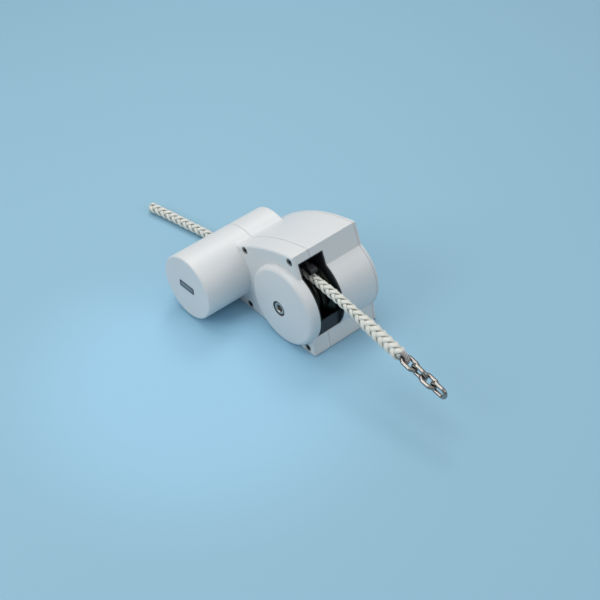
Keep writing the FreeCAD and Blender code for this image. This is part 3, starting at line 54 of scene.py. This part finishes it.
# Sizes that the case, rode and chain share with the solids, in millimetres
shaft_height = 64.2
near_face = -30.0
motor_face = -108.7
rope_radius = 7.0
rope_line_radius = 47.0
rope_lay = 48.0
splice_radius = 10.8
chain_start = Vector((204.6, 0, 83.1))
# Height of the slack tail's line over the deck, a little more than the radius of its swollen plait
deck_lie = 8.5


# Small helpers

def deselect():
    for other in bpy.context.selected_objects:
        other.select_set(False)


def link(name, mesh):
    piece = bpy.data.objects.new(name, mesh)
    bpy.context.scene.collection.objects.link(piece)
    return piece


def piece_from(mesh, name):
    """An object of the finished bmesh, its faces turned outward."""
    bmesh.ops.recalc_face_normals(mesh, faces=mesh.faces)
    data = bpy.data.meshes.new(name)
    mesh.to_mesh(data)
    mesh.free()
    return link(name, data)


def round_angles(count):
    return [2 * math.pi * j / count for j in range(count)]


def bridge(mesh, one, two):
    """Smooth quads between two rings of vertices."""
    count = len(one)
    faces = []
    for j in range(count):
        after = (j + 1) % count
        faces.append(mesh.faces.new((one[j], one[after], two[after], two[j])))
        faces[-1].smooth = True
    return faces


def ease(share):
    """From 0 to 1 with a soft start and end, and level outside them."""
    share = min(1, max(0, share))
    return share * share * (3 - 2 * share)


# Camera: the photograph's own, from the side of the bow, above the clutch

camera_place = (1.127854, -0.967174, 1.386487)
camera_azimuth = math.radians(49.55)
camera_elevation = math.radians(41.91)
camera_roll = math.radians(1.7)
sensor_width = 36
focal_length = 82.99
clip_near, clip_far = 0.05, 60


def make_camera():
    level = Vector((math.cos(camera_azimuth), math.sin(camera_azimuth), 0))
    ahead = Vector((-level.y * math.cos(camera_elevation), level.x * math.cos(camera_elevation),
                    -math.sin(camera_elevation)))
    down = ahead.cross(level)
    right = level * math.cos(camera_roll) + down * math.sin(camera_roll)
    below = down * math.cos(camera_roll) - level * math.sin(camera_roll)
    data = bpy.data.cameras.new("camera")
    data.sensor_width = sensor_width
    data.lens = focal_length
    data.clip_start = clip_near
    data.clip_end = clip_far
    camera = link("camera", data)
    turn = Matrix((right, -below, -ahead)).transposed()
    camera.matrix_world = Matrix.Translation(camera_place) @ turn.to_4x4()
    bpy.context.scene.camera = camera


make_camera()


# Rode: rope from the splice over the gypsy and out along the deck

# How far the rope slopes down where it leaves the gypsy, and how far it then runs straight
front_tilt = math.radians(3)
back_tilt = math.radians(62)
front_lead = 42
back_lead = 25
# The line's control points over the gypsy, which lie a little outside the line that they make
wrap_steps = 6
wrap_control_radius = rope_line_radius * 1.0045
# Distance between the points of a finished line
line_step = 1.2

# Shares of the rope's radius: a strand's middle, how far it weaves over and under, its half width
# and half thickness, and the core that fills the rope between the strands
strand_place = 0.585
strand_weave = 0.185
strand_width = 0.42
strand_thickness = 0.25
core_share = 0.6
strands_each_way = 4
strand_sides = 8
core_sides = 12

# The plait swells where nothing squeezes it, past the gypsy and the arm
tight_swell = 1.04
slack_swell_more = 0.14
slack_start = 28
slack_length = 30
# Distances from the eye: where the splice's taper starts and ends, and where its blunt end starts
taper_start_from_eye = 91
taper_end_from_eye = 60
blunt_length = 7
blunt_share, blunt_rest = 0.55, 0.45


def on_gypsy(past_top, radius=rope_line_radius):
    return Vector((-radius * math.sin(past_top), 0, shaft_height + radius * math.cos(past_top)))


front_way = Vector((math.cos(front_tilt), 0, -math.sin(front_tilt)))
back_way = Vector((-math.cos(back_tilt), 0, -math.sin(back_tilt)))
front_start = on_gypsy(-front_tilt)
tail_start = on_gypsy(back_tilt) + back_way * back_lead
front_route = [front_start, front_start + front_way * front_lead, Vector((91, 0, 104.3)),
               Vector((136, 0, 95.8)), Vector((180, 0, 86.6)), Vector((200.9, 0, 83.6))]
tail_route = [tail_start, Vector((-71.3, 0, 30.2)), Vector((-109.9, 0, deck_lie)),
              Vector((-152, 0.5, deck_lie)), Vector((-200, 14, deck_lie)),
              Vector((-243, 28, deck_lie)), Vector((-292, 18, deck_lie)),
              Vector((-338, 10.5, deck_lie)), Vector((-372, 3, deck_lie))]
wrap_turns = [(back_tilt + front_tilt) * (k + 0.5) / wrap_steps - front_tilt
              for k in range(wrap_steps)]
wrap_route = [front_start] + [on_gypsy(turn, wrap_control_radius) for turn in wrap_turns]
wrap_route += [on_gypsy(back_tilt), tail_start]


def spline_points(name, route):
    """Points along the smooth NURBS line that has the route as its control points, in metres."""
    curve = bpy.data.curves.new(name, "CURVE")
    curve.dimensions = "3D"
    curve.resolution_u = 48
    spline = curve.splines.new("NURBS")
    spline.points.add(len(route) - 1)
    for point, place in zip(spline.points, route):
        point.co = (*(place * MM), 1)
    spline.order_u = 3
    spline.use_endpoint_u = True
    holder = link(name, curve)
    bpy.context.view_layer.update()
    mesh = bpy.data.meshes.new_from_object(holder)
    points = [vertex.co.copy() for vertex in mesh.vertices]
    bpy.data.objects.remove(holder)
    bpy.data.meshes.remove(mesh)
    bpy.data.curves.remove(curve)
    return even(points, line_step * MM)


def even(points, step):
    """The same line with its points a step apart."""
    total = line_length(points)
    count = max(2, round(total / step))
    rounding = 1e-9
    made, walked, wanted = [points[0]], 0.0, total / count
    for a, b in zip(points, points[1:]):
        span = (b - a).length
        while wanted <= walked + span + rounding and len(made) < count:
            made.append(a.lerp(b, (wanted - walked) / span))
            wanted += total / count
        walked += span
    made.append(points[-1])
    return made


def line_length(points):
    return sum((b - a).length for a, b in zip(points, points[1:]))


def way_at(points, k):
    return (points[min(k + 1, len(points) - 1)] - points[max(k - 1, 0)]).normalized()


def rope_frames(points):
    """Side and crown of the rope at each point. The side is as near the shaft's way as it gets."""
    frames = []
    for k in range(len(points)):
        way = way_at(points, k)
        side = (SHAFT - way * SHAFT.dot(way)).normalized()
        frames.append((side, side.cross(way)))
    return frames


def plait(name, points, start, radius_at):
    """Eight strands plaited in pairs, four each way round, on a plain core.

    Seen from above and below the pairs point one way, and from the sides the other way. The start
    is the turn that the strands begin at, so that the plaits of two pieces meet. The UVs run once
    round a strand, and along it in centimetres.
    """
    mesh = bmesh.new()
    uv = mesh.loops.layers.uv.new("yarn")
    frames = rope_frames(points)
    radii = [radius_at(k / (len(points) - 1)) for k in range(len(points))]
    turns = [start]
    for a, b in zip(points, points[1:]):
        turns.append(turns[-1] + (b - a).length / MM / rope_lay)
    half_step = 0.5 / strands_each_way
    for hand in (-1, 1):
        for strand in range(strands_each_way):
            offset = strand / strands_each_way + (half_step if hand > 0 else 0)
            centres = []
            for k, (side, crown) in enumerate(frames):
                angle = 2 * math.pi * (hand * turns[k] + offset)
                over = math.cos(2 * angle) * hand
                out = radii[k] * MM * (strand_place + strand_weave * over)
                outward = crown * math.cos(angle) - side * math.sin(angle)
                centres.append(points[k] + outward * out)
            rings = []
            for k, centre in enumerate(centres):
                along = way_at(centres, k)
                outward = centre - points[k]
                outward = (outward - along * outward.dot(along)).normalized()
                across = along.cross(outward)
                wide = radii[k] * MM * strand_width
                thick = radii[k] * MM * strand_thickness
                rings.append([mesh.verts.new(centre + across * (wide * math.cos(a))
                                             + outward * (thick * math.sin(a)))
                              for a in round_angles(strand_sides)])
            for k, (one, two) in enumerate(zip(rings, rings[1:])):
                for j, face in enumerate(bridge(mesh, one, two)):
                    corners = ((j, k), (j + 1, k), (j + 1, k + 1), (j, k + 1))
                    for loop, (u, v) in zip(face.loops, corners):
                        loop[uv].uv = (u / strand_sides, turns[v] * rope_lay / 10)
            for ends in (rings[0][::-1], rings[-1]):
                mesh.faces.new(ends)
    core = []
    for k, (side, crown) in enumerate(frames):
        full = radii[k] * MM * core_share
        core.append([mesh.verts.new(points[k] + (crown * math.cos(a) - side * math.sin(a)) * full)
                     for a in round_angles(core_sides)])
    for one, two in zip(core, core[1:]):
        bridge(mesh, one, two)
    mesh.faces.new(core[0][::-1])
    mesh.faces.new(core[-1])
    return piece_from(mesh, name)


def slack_swell(place):
    """How much fuller than its nominal radius the rope is at a distance from the gypsy."""
    return tight_swell + slack_swell_more * ease((place - slack_start) / slack_length)


def splice_swell(share):
    """Radius from the gypsy to the eye: plain rope, a long taper, the thick splice, a blunt end."""
    place = share * splice_length
    plain = rope_radius * slack_swell(place)
    from_end = splice_length - place
    if from_end >= blunt_length:
        taper = taper_start_from_eye - taper_end_from_eye
        return plain + (splice_radius - plain) * ease((taper_start_from_eye - from_end) / taper)
    closing = math.sqrt(max(0, 1 - (1 - from_end / blunt_length) ** 2))
    return splice_radius * (blunt_share + blunt_rest * closing)


front_points = spline_points("front_line", front_route)
splice_length = line_length(front_points) / MM
wrap_points = spline_points("wrap_line", wrap_route)
tail_points = spline_points("tail_line", tail_route)
wrap_length = line_length(wrap_points) / MM
tail_length = line_length(tail_points) / MM

rope_front = plait("rode_front", front_points, 0, splice_swell)
rope_over = plait("rode_on_gypsy", wrap_points[::-1], -wrap_length / rope_lay,
                  lambda share: rope_radius * tight_swell)
rope_tail = plait("rode_tail", tail_points[::-1], -(wrap_length + tail_length) / rope_lay,
                  lambda share: rope_radius * slack_swell((1 - share) * tail_length))


def splice_eye():
    """Three strands of the splice, laid round each other and round the bar of the first link."""
    loop_radius, strand_out, strand_radius = 7.2, 1.9, 1.95
    strands, twists, steps, around = 3, 5, 96, 12
    mesh = bmesh.new()
    for strand in range(strands):
        rings = []
        for turn in round_angles(steps):
            twist = 2 * math.pi * strand / strands + twists * turn
            outward = Vector((math.cos(turn), 0, math.sin(turn)))
            centre = chain_start + outward * (loop_radius + strand_out * math.cos(twist))
            centre += SHAFT * (strand_out * math.sin(twist))
            rings.append([mesh.verts.new((centre + (outward * math.cos(a) + SHAFT * math.sin(a))
                                          * strand_radius) * MM)
                          for a in round_angles(around)])
        for one, two in zip(rings, rings[1:] + rings[:1]):
            bridge(mesh, one, two)
    return piece_from(mesh, "splice_eye")


def sealed_end():
    """Melted end that keeps the tail from fraying: a flat dome, nearly as wide as the plait."""
    seal_radius, flatness = 8.1, 0.3
    deselect()
    way = (tail_points[-1] - tail_points[-2]).normalized()
    bpy.ops.mesh.primitive_uv_sphere_add(segments=32, ring_count=16, radius=seal_radius * MM,
                                         location=tail_points[-1])
    seal = bpy.context.object
    seal.name = "rode_sealed_end"
    seal.scale = (flatness, 1, 1)
    seal.rotation_euler = way.to_track_quat("X", "Z").to_euler()
    bpy.ops.object.transform_apply(location=True, rotation=True, scale=True)
    bpy.ops.object.shade_smooth()
    return seal


eye = splice_eye()
seal = sealed_end()
for piece in (rope_front, rope_over, rope_tail, eye, seal):
    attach(piece, "casing")
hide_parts("rope_front", "rope_splice")
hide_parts("rope_wrap")
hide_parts("rope_tail")


# Shader helpers

def hex_colour(code):
    """An sRGB hex colour as linear RGBA."""
    channels = [int(code[k:k + 2], 16) / 255 for k in (0, 2, 4)]
    linear = [c / 12.92 if c <= 0.04045 else ((c + 0.055) / 1.055) ** 2.4 for c in channels]
    return (*linear, 1)


def add(tree, kind, settings=None, **inputs):
    """A node with its settings.

    An input is a value, or a socket to link from. Its name has _ for spaces, or is i and a number.
    """
    node = tree.nodes.new(kind)
    for name, value in (settings or {}).items():
        setattr(node, name, value)
    for name, value in inputs.items():
        numbered = name[0] == "i" and name[1:].isdigit()
        socket = node.inputs[int(name[1:]) if numbered else name.replace("_", " ")]
        if isinstance(value, bpy.types.NodeSocket):
            tree.links.new(value, socket)
        else:
            socket.default_value = value
    return node


def blank(name):
    material = bpy.data.materials.new(name)
    material.use_nodes = True
    material.node_tree.nodes.clear()
    return material, material.node_tree


def finish_surface(tree, **inputs):
    surface = add(tree, "ShaderNodeBsdfPrincipled", **inputs)
    add(tree, "ShaderNodeOutputMaterial", Surface=surface.outputs[0])


def own_place(tree):
    """Place in the piece's own coordinates, in metres."""
    return add(tree, "ShaderNodeTexCoord").outputs["Object"]


def grain(tree, size_mm, detail, place=None):
    """Noise with its grain about size_mm across."""
    noise = add(tree, "ShaderNodeTexNoise", Vector=place or own_place(tree),
                Scale=1 / (size_mm * MM), Detail=detail)
    return noise.outputs["Fac"]


def maths(tree, operation, *values):
    inputs = {"i%d" % k: value for k, value in enumerate(values)}
    return add(tree, "ShaderNodeMath", {"operation": operation}, **inputs).outputs[0]


def mixed(tree, factor, low, high, blend="MIX"):
    """Two colours, each a value or a socket, mixed by the factor."""
    mix = add(tree, "ShaderNodeMix", {"data_type": "RGBA", "blend_type": blend}, Factor=factor,
              i6=low, i7=high)
    return mix.outputs[2]


def tone(tree, factor, low, high):
    """Two hex colours mixed by the factor."""
    return mixed(tree, factor, hex_colour(low), hex_colour(high))


def spread(tree, factor, low, high):
    """A factor from 0 to 1 turned to the range from low to high."""
    return add(tree, "ShaderNodeMapRange", Value=factor, To_Min=low, To_Max=high).outputs[0]


def rise(tree, value, low, high):
    """0 below low, 1 above high, and a soft rise between them."""
    step = add(tree, "ShaderNodeMapRange", {"interpolation_type": "SMOOTHSTEP"}, Value=value,
               From_Min=low, From_Max=high)
    return step.outputs[0]


def relief(tree, height, strength, depth_mm, **more):
    """Normals for relief too fine to be geometry."""
    bump = add(tree, "ShaderNodeBump", Height=height, Strength=strength, Distance=depth_mm * MM,
               **more)
    return bump.outputs[0]


# Stage: pale blue deck and soft light from above and behind

floor_size = 14
# The floor lies just under the deck's height, so that it doesn't fight with the case's bottom
floor_drop = 0.0002
# Painted pool of light: the deck's colour is lighter round a spot beside the clutch, and falls off
# between these distances from it
painted_light_middle = (-0.02, -0.18, 0)
painted_light_edges = (0.12, 0.34)
# Lamps: name, place, how far across, watts. All of them point at lamp_aim
lamps = [("overhead", (-0.45, -0.05, 1.9), 1.3, 8.7),
         ("behind", (-1.0, 0.9, 1.8), 0.7, 7),
         ("bow_side", (1.6, 0.7, 1.3), 1.0, 5),
         ("clutch_side", (-0.6, -1.9, 1.5), 1.4, 14.5)]
lamp_aim = Vector((-0.02, 0, 0.06))
# Strength of the sky at the horizon and overhead
sky_strengths = (0.18, 0.78)


def deck():
    material, tree = blank("pale_blue_deck")
    # Painted pool of light: lighter blue near a spot beside the clutch, darker blue farther from it
    away = add(tree, "ShaderNodeVectorMath", {"operation": "DISTANCE"}, i0=own_place(tree),
               i1=painted_light_middle)
    painted_light_falloff = rise(tree, away.outputs["Value"], *painted_light_edges)
    finish_surface(tree, Base_Color=tone(tree, painted_light_falloff, "9ac9e4", "92bdd3"), Roughness=0.62)
    return material


def make_floor():
    deselect()
    bpy.ops.mesh.primitive_plane_add(size=floor_size, location=(0, 0, -floor_drop))
    floor = bpy.context.object
    floor.name = "deck_surface"
    floor.data.materials.append(deck())


def make_lamps():
    for name, place, size, power in lamps:
        data = bpy.data.lights.new(name, "AREA")
        data.shape = "DISK"
        data.size = size
        data.energy = power
        lamp = link(name, data)
        lamp.location = place
        lamp.rotation_mode = "QUATERNION"
        lamp.rotation_quaternion = (lamp_aim - Vector(place)).to_track_quat("-Z", "Y")


def make_sky():
    world = bpy.data.worlds.new("studio")
    world.use_nodes = True
    tree = world.node_tree
    tree.nodes.clear()
    view = add(tree, "ShaderNodeTexCoord").outputs["Generated"]
    way = add(tree, "ShaderNodeSeparateXYZ", Vector=view)
    sky = add(tree, "ShaderNodeBackground", Color=hex_colour("eceeef"),
              Strength=spread(tree, way.outputs["Z"], *sky_strengths))
    add(tree, "ShaderNodeOutputWorld", Surface=sky.outputs[0])
    bpy.context.scene.world = world
    bpy.context.scene.view_settings.view_transform = "Standard"


make_floor()
make_lamps()
make_sky()


# Materials

# The rounding of the edges leaves out the joint of the motor cover with the side wall: everything
# this near the joint's plane and behind this X, in millimetres
joint_reach = 1.6
joint_front = -72.5


def cover_joint(tree):
    """1 beside the plane where the motor cover's solid meets the side wall's, 0 elsewhere."""
    place = add(tree, "ShaderNodeSeparateXYZ", Vector=own_place(tree))
    off = maths(tree, "SUBTRACT", place.outputs["Y"], near_face * MM)
    close = maths(tree, "LESS_THAN", maths(tree, "ABSOLUTE", off), joint_reach * MM)
    behind = maths(tree, "LESS_THAN", place.outputs["X"], joint_front * MM)
    return maths(tree, "MULTIPLY", close, behind)


def white_moulding():
    """White ASA case, injection moulded: a soft broad sheen, a fine skin, a faint cool cast."""
    material, tree = blank("white_moulded_asa")
    cloud = grain(tree, 60, 3.0)
    skin = grain(tree, 0.9, 2.0)
    edges = add(tree, "ShaderNodeBevel", {"samples": 4}, Radius=0.8 * MM)
    bare = add(tree, "ShaderNodeNewGeometry")
    flush = add(tree, "ShaderNodeMix", {"data_type": "VECTOR"}, Factor=cover_joint(tree),
                i4=edges.outputs[0], i5=bare.outputs["Normal"])
    finish_surface(tree, Base_Color=tone(tree, cloud, "d9dcde", "e2e4e4"), IOR=1.49,
                   Roughness=spread(tree, cloud, 0.36, 0.46),
                   Normal=relief(tree, skin, strength=0.12, depth_mm=0.1,
                                 Normal=flush.outputs[1]))
    return material


def black_nylon():
    """Glass-filled nylon, moulded on a spark-eroded tool: black, satin, a fine even pitting."""
    material, tree = blank("black_glass_filled_nylon")
    pits = grain(tree, 0.5, 3.0)
    finish_surface(tree, Base_Color=tone(tree, grain(tree, 14, 2.0), "191c20", "24282d"), IOR=1.53,
                   Roughness=spread(tree, pits, 0.42, 0.6),
                   Normal=relief(tree, pits, strength=0.3, depth_mm=0.15))
    return material


def rubber():
    """Moulded EPDM rubber: dull black, a bloom of grey on top."""
    material, tree = blank("moulded_epdm_rubber")
    bloom = grain(tree, 7, 4.0)
    finish_surface(tree, Base_Color=tone(tree, bloom, "232425", "37383a"), IOR=1.52,
                   Roughness=0.75, Normal=relief(tree, bloom, strength=0.15, depth_mm=0.2))
    return material


def metal(name, low, high, dull, grain_mm, stretch=(1, 1, 1), strength=0.1):
    """Bare metal: two tones, and a roughness between the two of dull, that vary with its grain.

    A grain that a tool left is finer along the stretch's larger numbers.
    """
    material, tree = blank(name)
    drawn = add(tree, "ShaderNodeMapping", Vector=own_place(tree), Scale=stretch)
    lines = grain(tree, grain_mm, 3.0, drawn.outputs[0])
    finish_surface(tree, Base_Color=tone(tree, lines, low, high), Metallic=1.0,
                   Roughness=spread(tree, lines, *dull),
                   Normal=relief(tree, lines, strength, depth_mm=0.1))
    return material


def moulding(name, low, high, dull, grain_mm, ior=1.5):
    """Plain filled compound or fibre: two tones and a fine grain."""
    material, tree = blank(name)
    fine = grain(tree, grain_mm, 3.0)
    finish_surface(tree, Base_Color=tone(tree, fine, low, high), Roughness=dull, IOR=ior,
                   Normal=relief(tree, fine, strength=0.2, depth_mm=0.1))
    return material


def polyester_plait():
    """Plaited polyester: white crowns, grey-green painted shade between the strands, fine slanted
    yarns.
    """
    material, tree = blank("plaited_polyester")
    strand = add(tree, "ShaderNodeUVMap", {"uv_map": "yarn"}).outputs[0]
    round_share = add(tree, "ShaderNodeSeparateXYZ", Vector=strand).outputs["X"]
    crown = maths(tree, "SINE", maths(tree, "MULTIPLY", round_share, 2 * math.pi))
    groove_shade_mask = rise(tree, crown, -0.15, 0.75)
    slant = add(tree, "ShaderNodeMapping", Vector=strand, Scale=(5.0, 2.4, 1.0),
                Rotation=(0, 0, 0.5))
    wave = add(tree, "ShaderNodeTexWave", {"wave_type": "BANDS", "bands_direction": "X"},
               Vector=slant.outputs[0], Scale=1.6, Distortion=1.2, Detail=2.0, Detail_Scale=2.0)
    yarns = wave.outputs["Fac"]
    crown_colour = tone(tree, grain(tree, 9, 3.0), "e9e9e0", "fbfbf6")
    # Painted shade: grey-green at the strands' edges in the grooves, white on their crowns
    groove_shaded = mixed(tree, groove_shade_mask, hex_colour("8f9688"), crown_colour)
    shade = mixed(tree, 0.35, groove_shaded, tone(tree, yarns, "b4b6aa", "ffffff"), "MULTIPLY")
    finish_surface(tree, Base_Color=shade, Roughness=0.62, IOR=1.57, Sheen_Weight=0.3,
                   Sheen_Roughness=0.5, Normal=relief(tree, yarns, strength=0.5, depth_mm=0.4))
    return material


# Turned, ground and hobbed pieces have their marks round the shaft's way
finishes = {
    "white_casing": white_moulding(),
    "black_nylon": black_nylon(),
    "black_rubber": rubber(),
    "paper_seal": moulding("pressed_fibre_sheet", "55645c", "6b7a70", 0.85, 1.2),
    # Screw heads coloured dark grey: painted shade of the deep counterbores they sit in
    "stainless_screws": metal("headed_stainless_steel_painted_shade", "626261", "868684", (0.3, 0.44), 1.2,
                              (1, 4, 1)),
    "chromed_nut": metal("turned_stainless_steel", "b2b0ae", "d0cecb", (0.42, 0.54), 2.0,
                         (1, 3, 1)),
    # Chain of stainless wire, welded and tumbled, a little brown from salt
    "stainless_chain": metal("tumbled_stainless_chain", "87817b", "bab5b0", (0.12, 0.22), 3.0,
                             strength=0.2),
    # Cast bronze coloured dark grey as painted shade of the deep mouth it turns in, with a grainy
    # skin
    "bronze": metal("cast_bronze_painted_shade", "2b2d2b", "444640", (0.34, 0.5), 1.5, strength=0.25),
    "bearing_bronze": metal("turned_bearing_bronze", "a8824a", "c09a5c", (0.28, 0.4), 0.8,
                            (1, 5, 1)),
    "ground_steel": metal("ground_steel", "a4a5a6", "bfc0c2", (0.18, 0.3), 0.6, (1, 6, 1)),
    "gear_steel": metal("hobbed_gear_steel", "7f8082", "9a9b9d", (0.3, 0.45), 0.8, (1, 6, 1)),
    "spring_steel": metal("blued_spring_steel", "5a5d66", "7a7d86", (0.25, 0.38), 1.0),
    "cast_aluminium": metal("die_cast_aluminium", "a5a6a8", "c2c3c5", (0.4, 0.55), 1.2,
                            strength=0.25),
    "brass_studs": metal("turned_brass", "b8964e", "d0b068", (0.2, 0.32), 0.8, (1, 5, 1)),
    "lamination_steel": metal("stacked_silicon_steel", "5f6062", "7d7e80", (0.4, 0.55), 0.5,
                              (0.2, 1, 0.2)),
    "enamelled_copper": metal("enamelled_copper_wire", "8a3d1c", "b25a2c", (0.25, 0.4), 0.9,
                              (0.3, 1, 0.3), 0.4),
    "commutator_copper": metal("turned_copper", "b9714e", "cf8a64", (0.25, 0.35), 0.7, (1, 5, 1)),
    "ferrite": moulding("pressed_ferrite", "2c2c2e", "3a3a3c", 0.6, 0.8),
    "carbon": moulding("pressed_carbon", "262626", "343434", 0.5, 0.5),
    "brown_moulding": moulding("phenolic_moulding", "4a2c1c", "5c3a26", 0.45, 0.6, 1.55),
    "motor_paint": moulding("black_stove_enamel", "1c1c1e", "28282a", 0.35, 1.4),
    "white_rope": polyester_plait(),
}
# Strands of the eye, a pinkish grey darker than the rest of the plait
eye_finish = moulding("grey_polyester_strands", "8f898a", "c2bdbb", 0.7, 1.6, 1.57)
# Melted polyester on the tail's end
seal_finish = moulding("melted_polyester", "c9c6b4", "dedccb", 0.4, 2.0, 1.57)
# Raised middle of the end plate, worn grey
panel_finish = moulding("worn_grey_nylon", "66747a", "849299", 0.5, 1.2, 1.53)

slot_of = {entry["node"]: entry["material_slot"] for entry in frame["record"]["subparts"]}
for name, node in frame["nodes"].items():
    node.data.materials.clear()
    node.data.materials.append(finishes[slot_of[name]])


def dress(piece, slot, finish=None):
    piece.data.materials.clear()
    piece.data.materials.append(finish or finishes[slot])


for piece in (rope_front, rope_over, rope_tail):
    dress(piece, "white_rope")
dress(eye, "white_rope", eye_finish)
dress(seal, "white_rope", seal_finish)


# Bare plate on the end of the motor cover

plate_middle_x, plate_middle_z = -132.0, 58.0
plate_width, plate_height = 32.0, 11.0
plate_sunk, plate_proud = 0.6, 0.5
plate_corner = 1.5
rim_width, rim_depth = 1.0, 0.4
panel_border, panel_rise = 0.7, 0.2
# An edge or a face runs or looks along Y where its way's Y is past this
along_y = 0.9


def end_plate():
    """Dark plate let into the motor cover's end, with a rim and a raised panel inside it."""
    deselect()
    middle_y = motor_face + (plate_sunk - plate_proud) / 2
    bpy.ops.mesh.primitive_cube_add(size=1, location=(plate_middle_x * MM, middle_y * MM,
                                                      plate_middle_z * MM))
    plate = bpy.context.object
    plate.name = "end_plate"
    plate.scale = (plate_width * MM, (plate_sunk + plate_proud) * MM, plate_height * MM)
    bpy.ops.object.transform_apply(location=True, rotation=True, scale=True)
    bpy.ops.object.mode_set(mode="EDIT")
    mesh = bmesh.from_edit_mesh(plate.data)
    for face in mesh.faces:
        face.select_set(False)
    for edge in mesh.edges:
        way = (edge.verts[0].co - edge.verts[1].co).normalized()
        edge.select_set(abs(way.y) > along_y)
    bmesh.update_edit_mesh(plate.data)
    bpy.ops.mesh.select_mode(type="EDGE")
    bpy.ops.mesh.bevel(offset=plate_corner * MM, segments=4)
    mesh = bmesh.from_edit_mesh(plate.data)
    for face in mesh.faces:
        face.select_set(face.normal.y < -along_y)
    bmesh.update_edit_mesh(plate.data)
    bpy.ops.mesh.select_mode(type="FACE")
    for border, inward in ((rim_width, rim_depth), (panel_border, -panel_rise)):
        bpy.ops.mesh.inset(thickness=border * MM)
        bpy.ops.mesh.extrude_region_move(TRANSFORM_OT_translate={"value": (0, inward * MM, 0)})
    panel = [face.index for face in bmesh.from_edit_mesh(plate.data).faces if face.select]
    bpy.ops.object.mode_set(mode="OBJECT")
    bpy.ops.object.shade_smooth_by_angle(angle=math.radians(35))
    dress(plate, "black_nylon")
    plate.data.materials.append(panel_finish)
    for index in panel:
        plate.data.polygons[index].material_index = 1
    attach(plate, "casing")


end_plate()
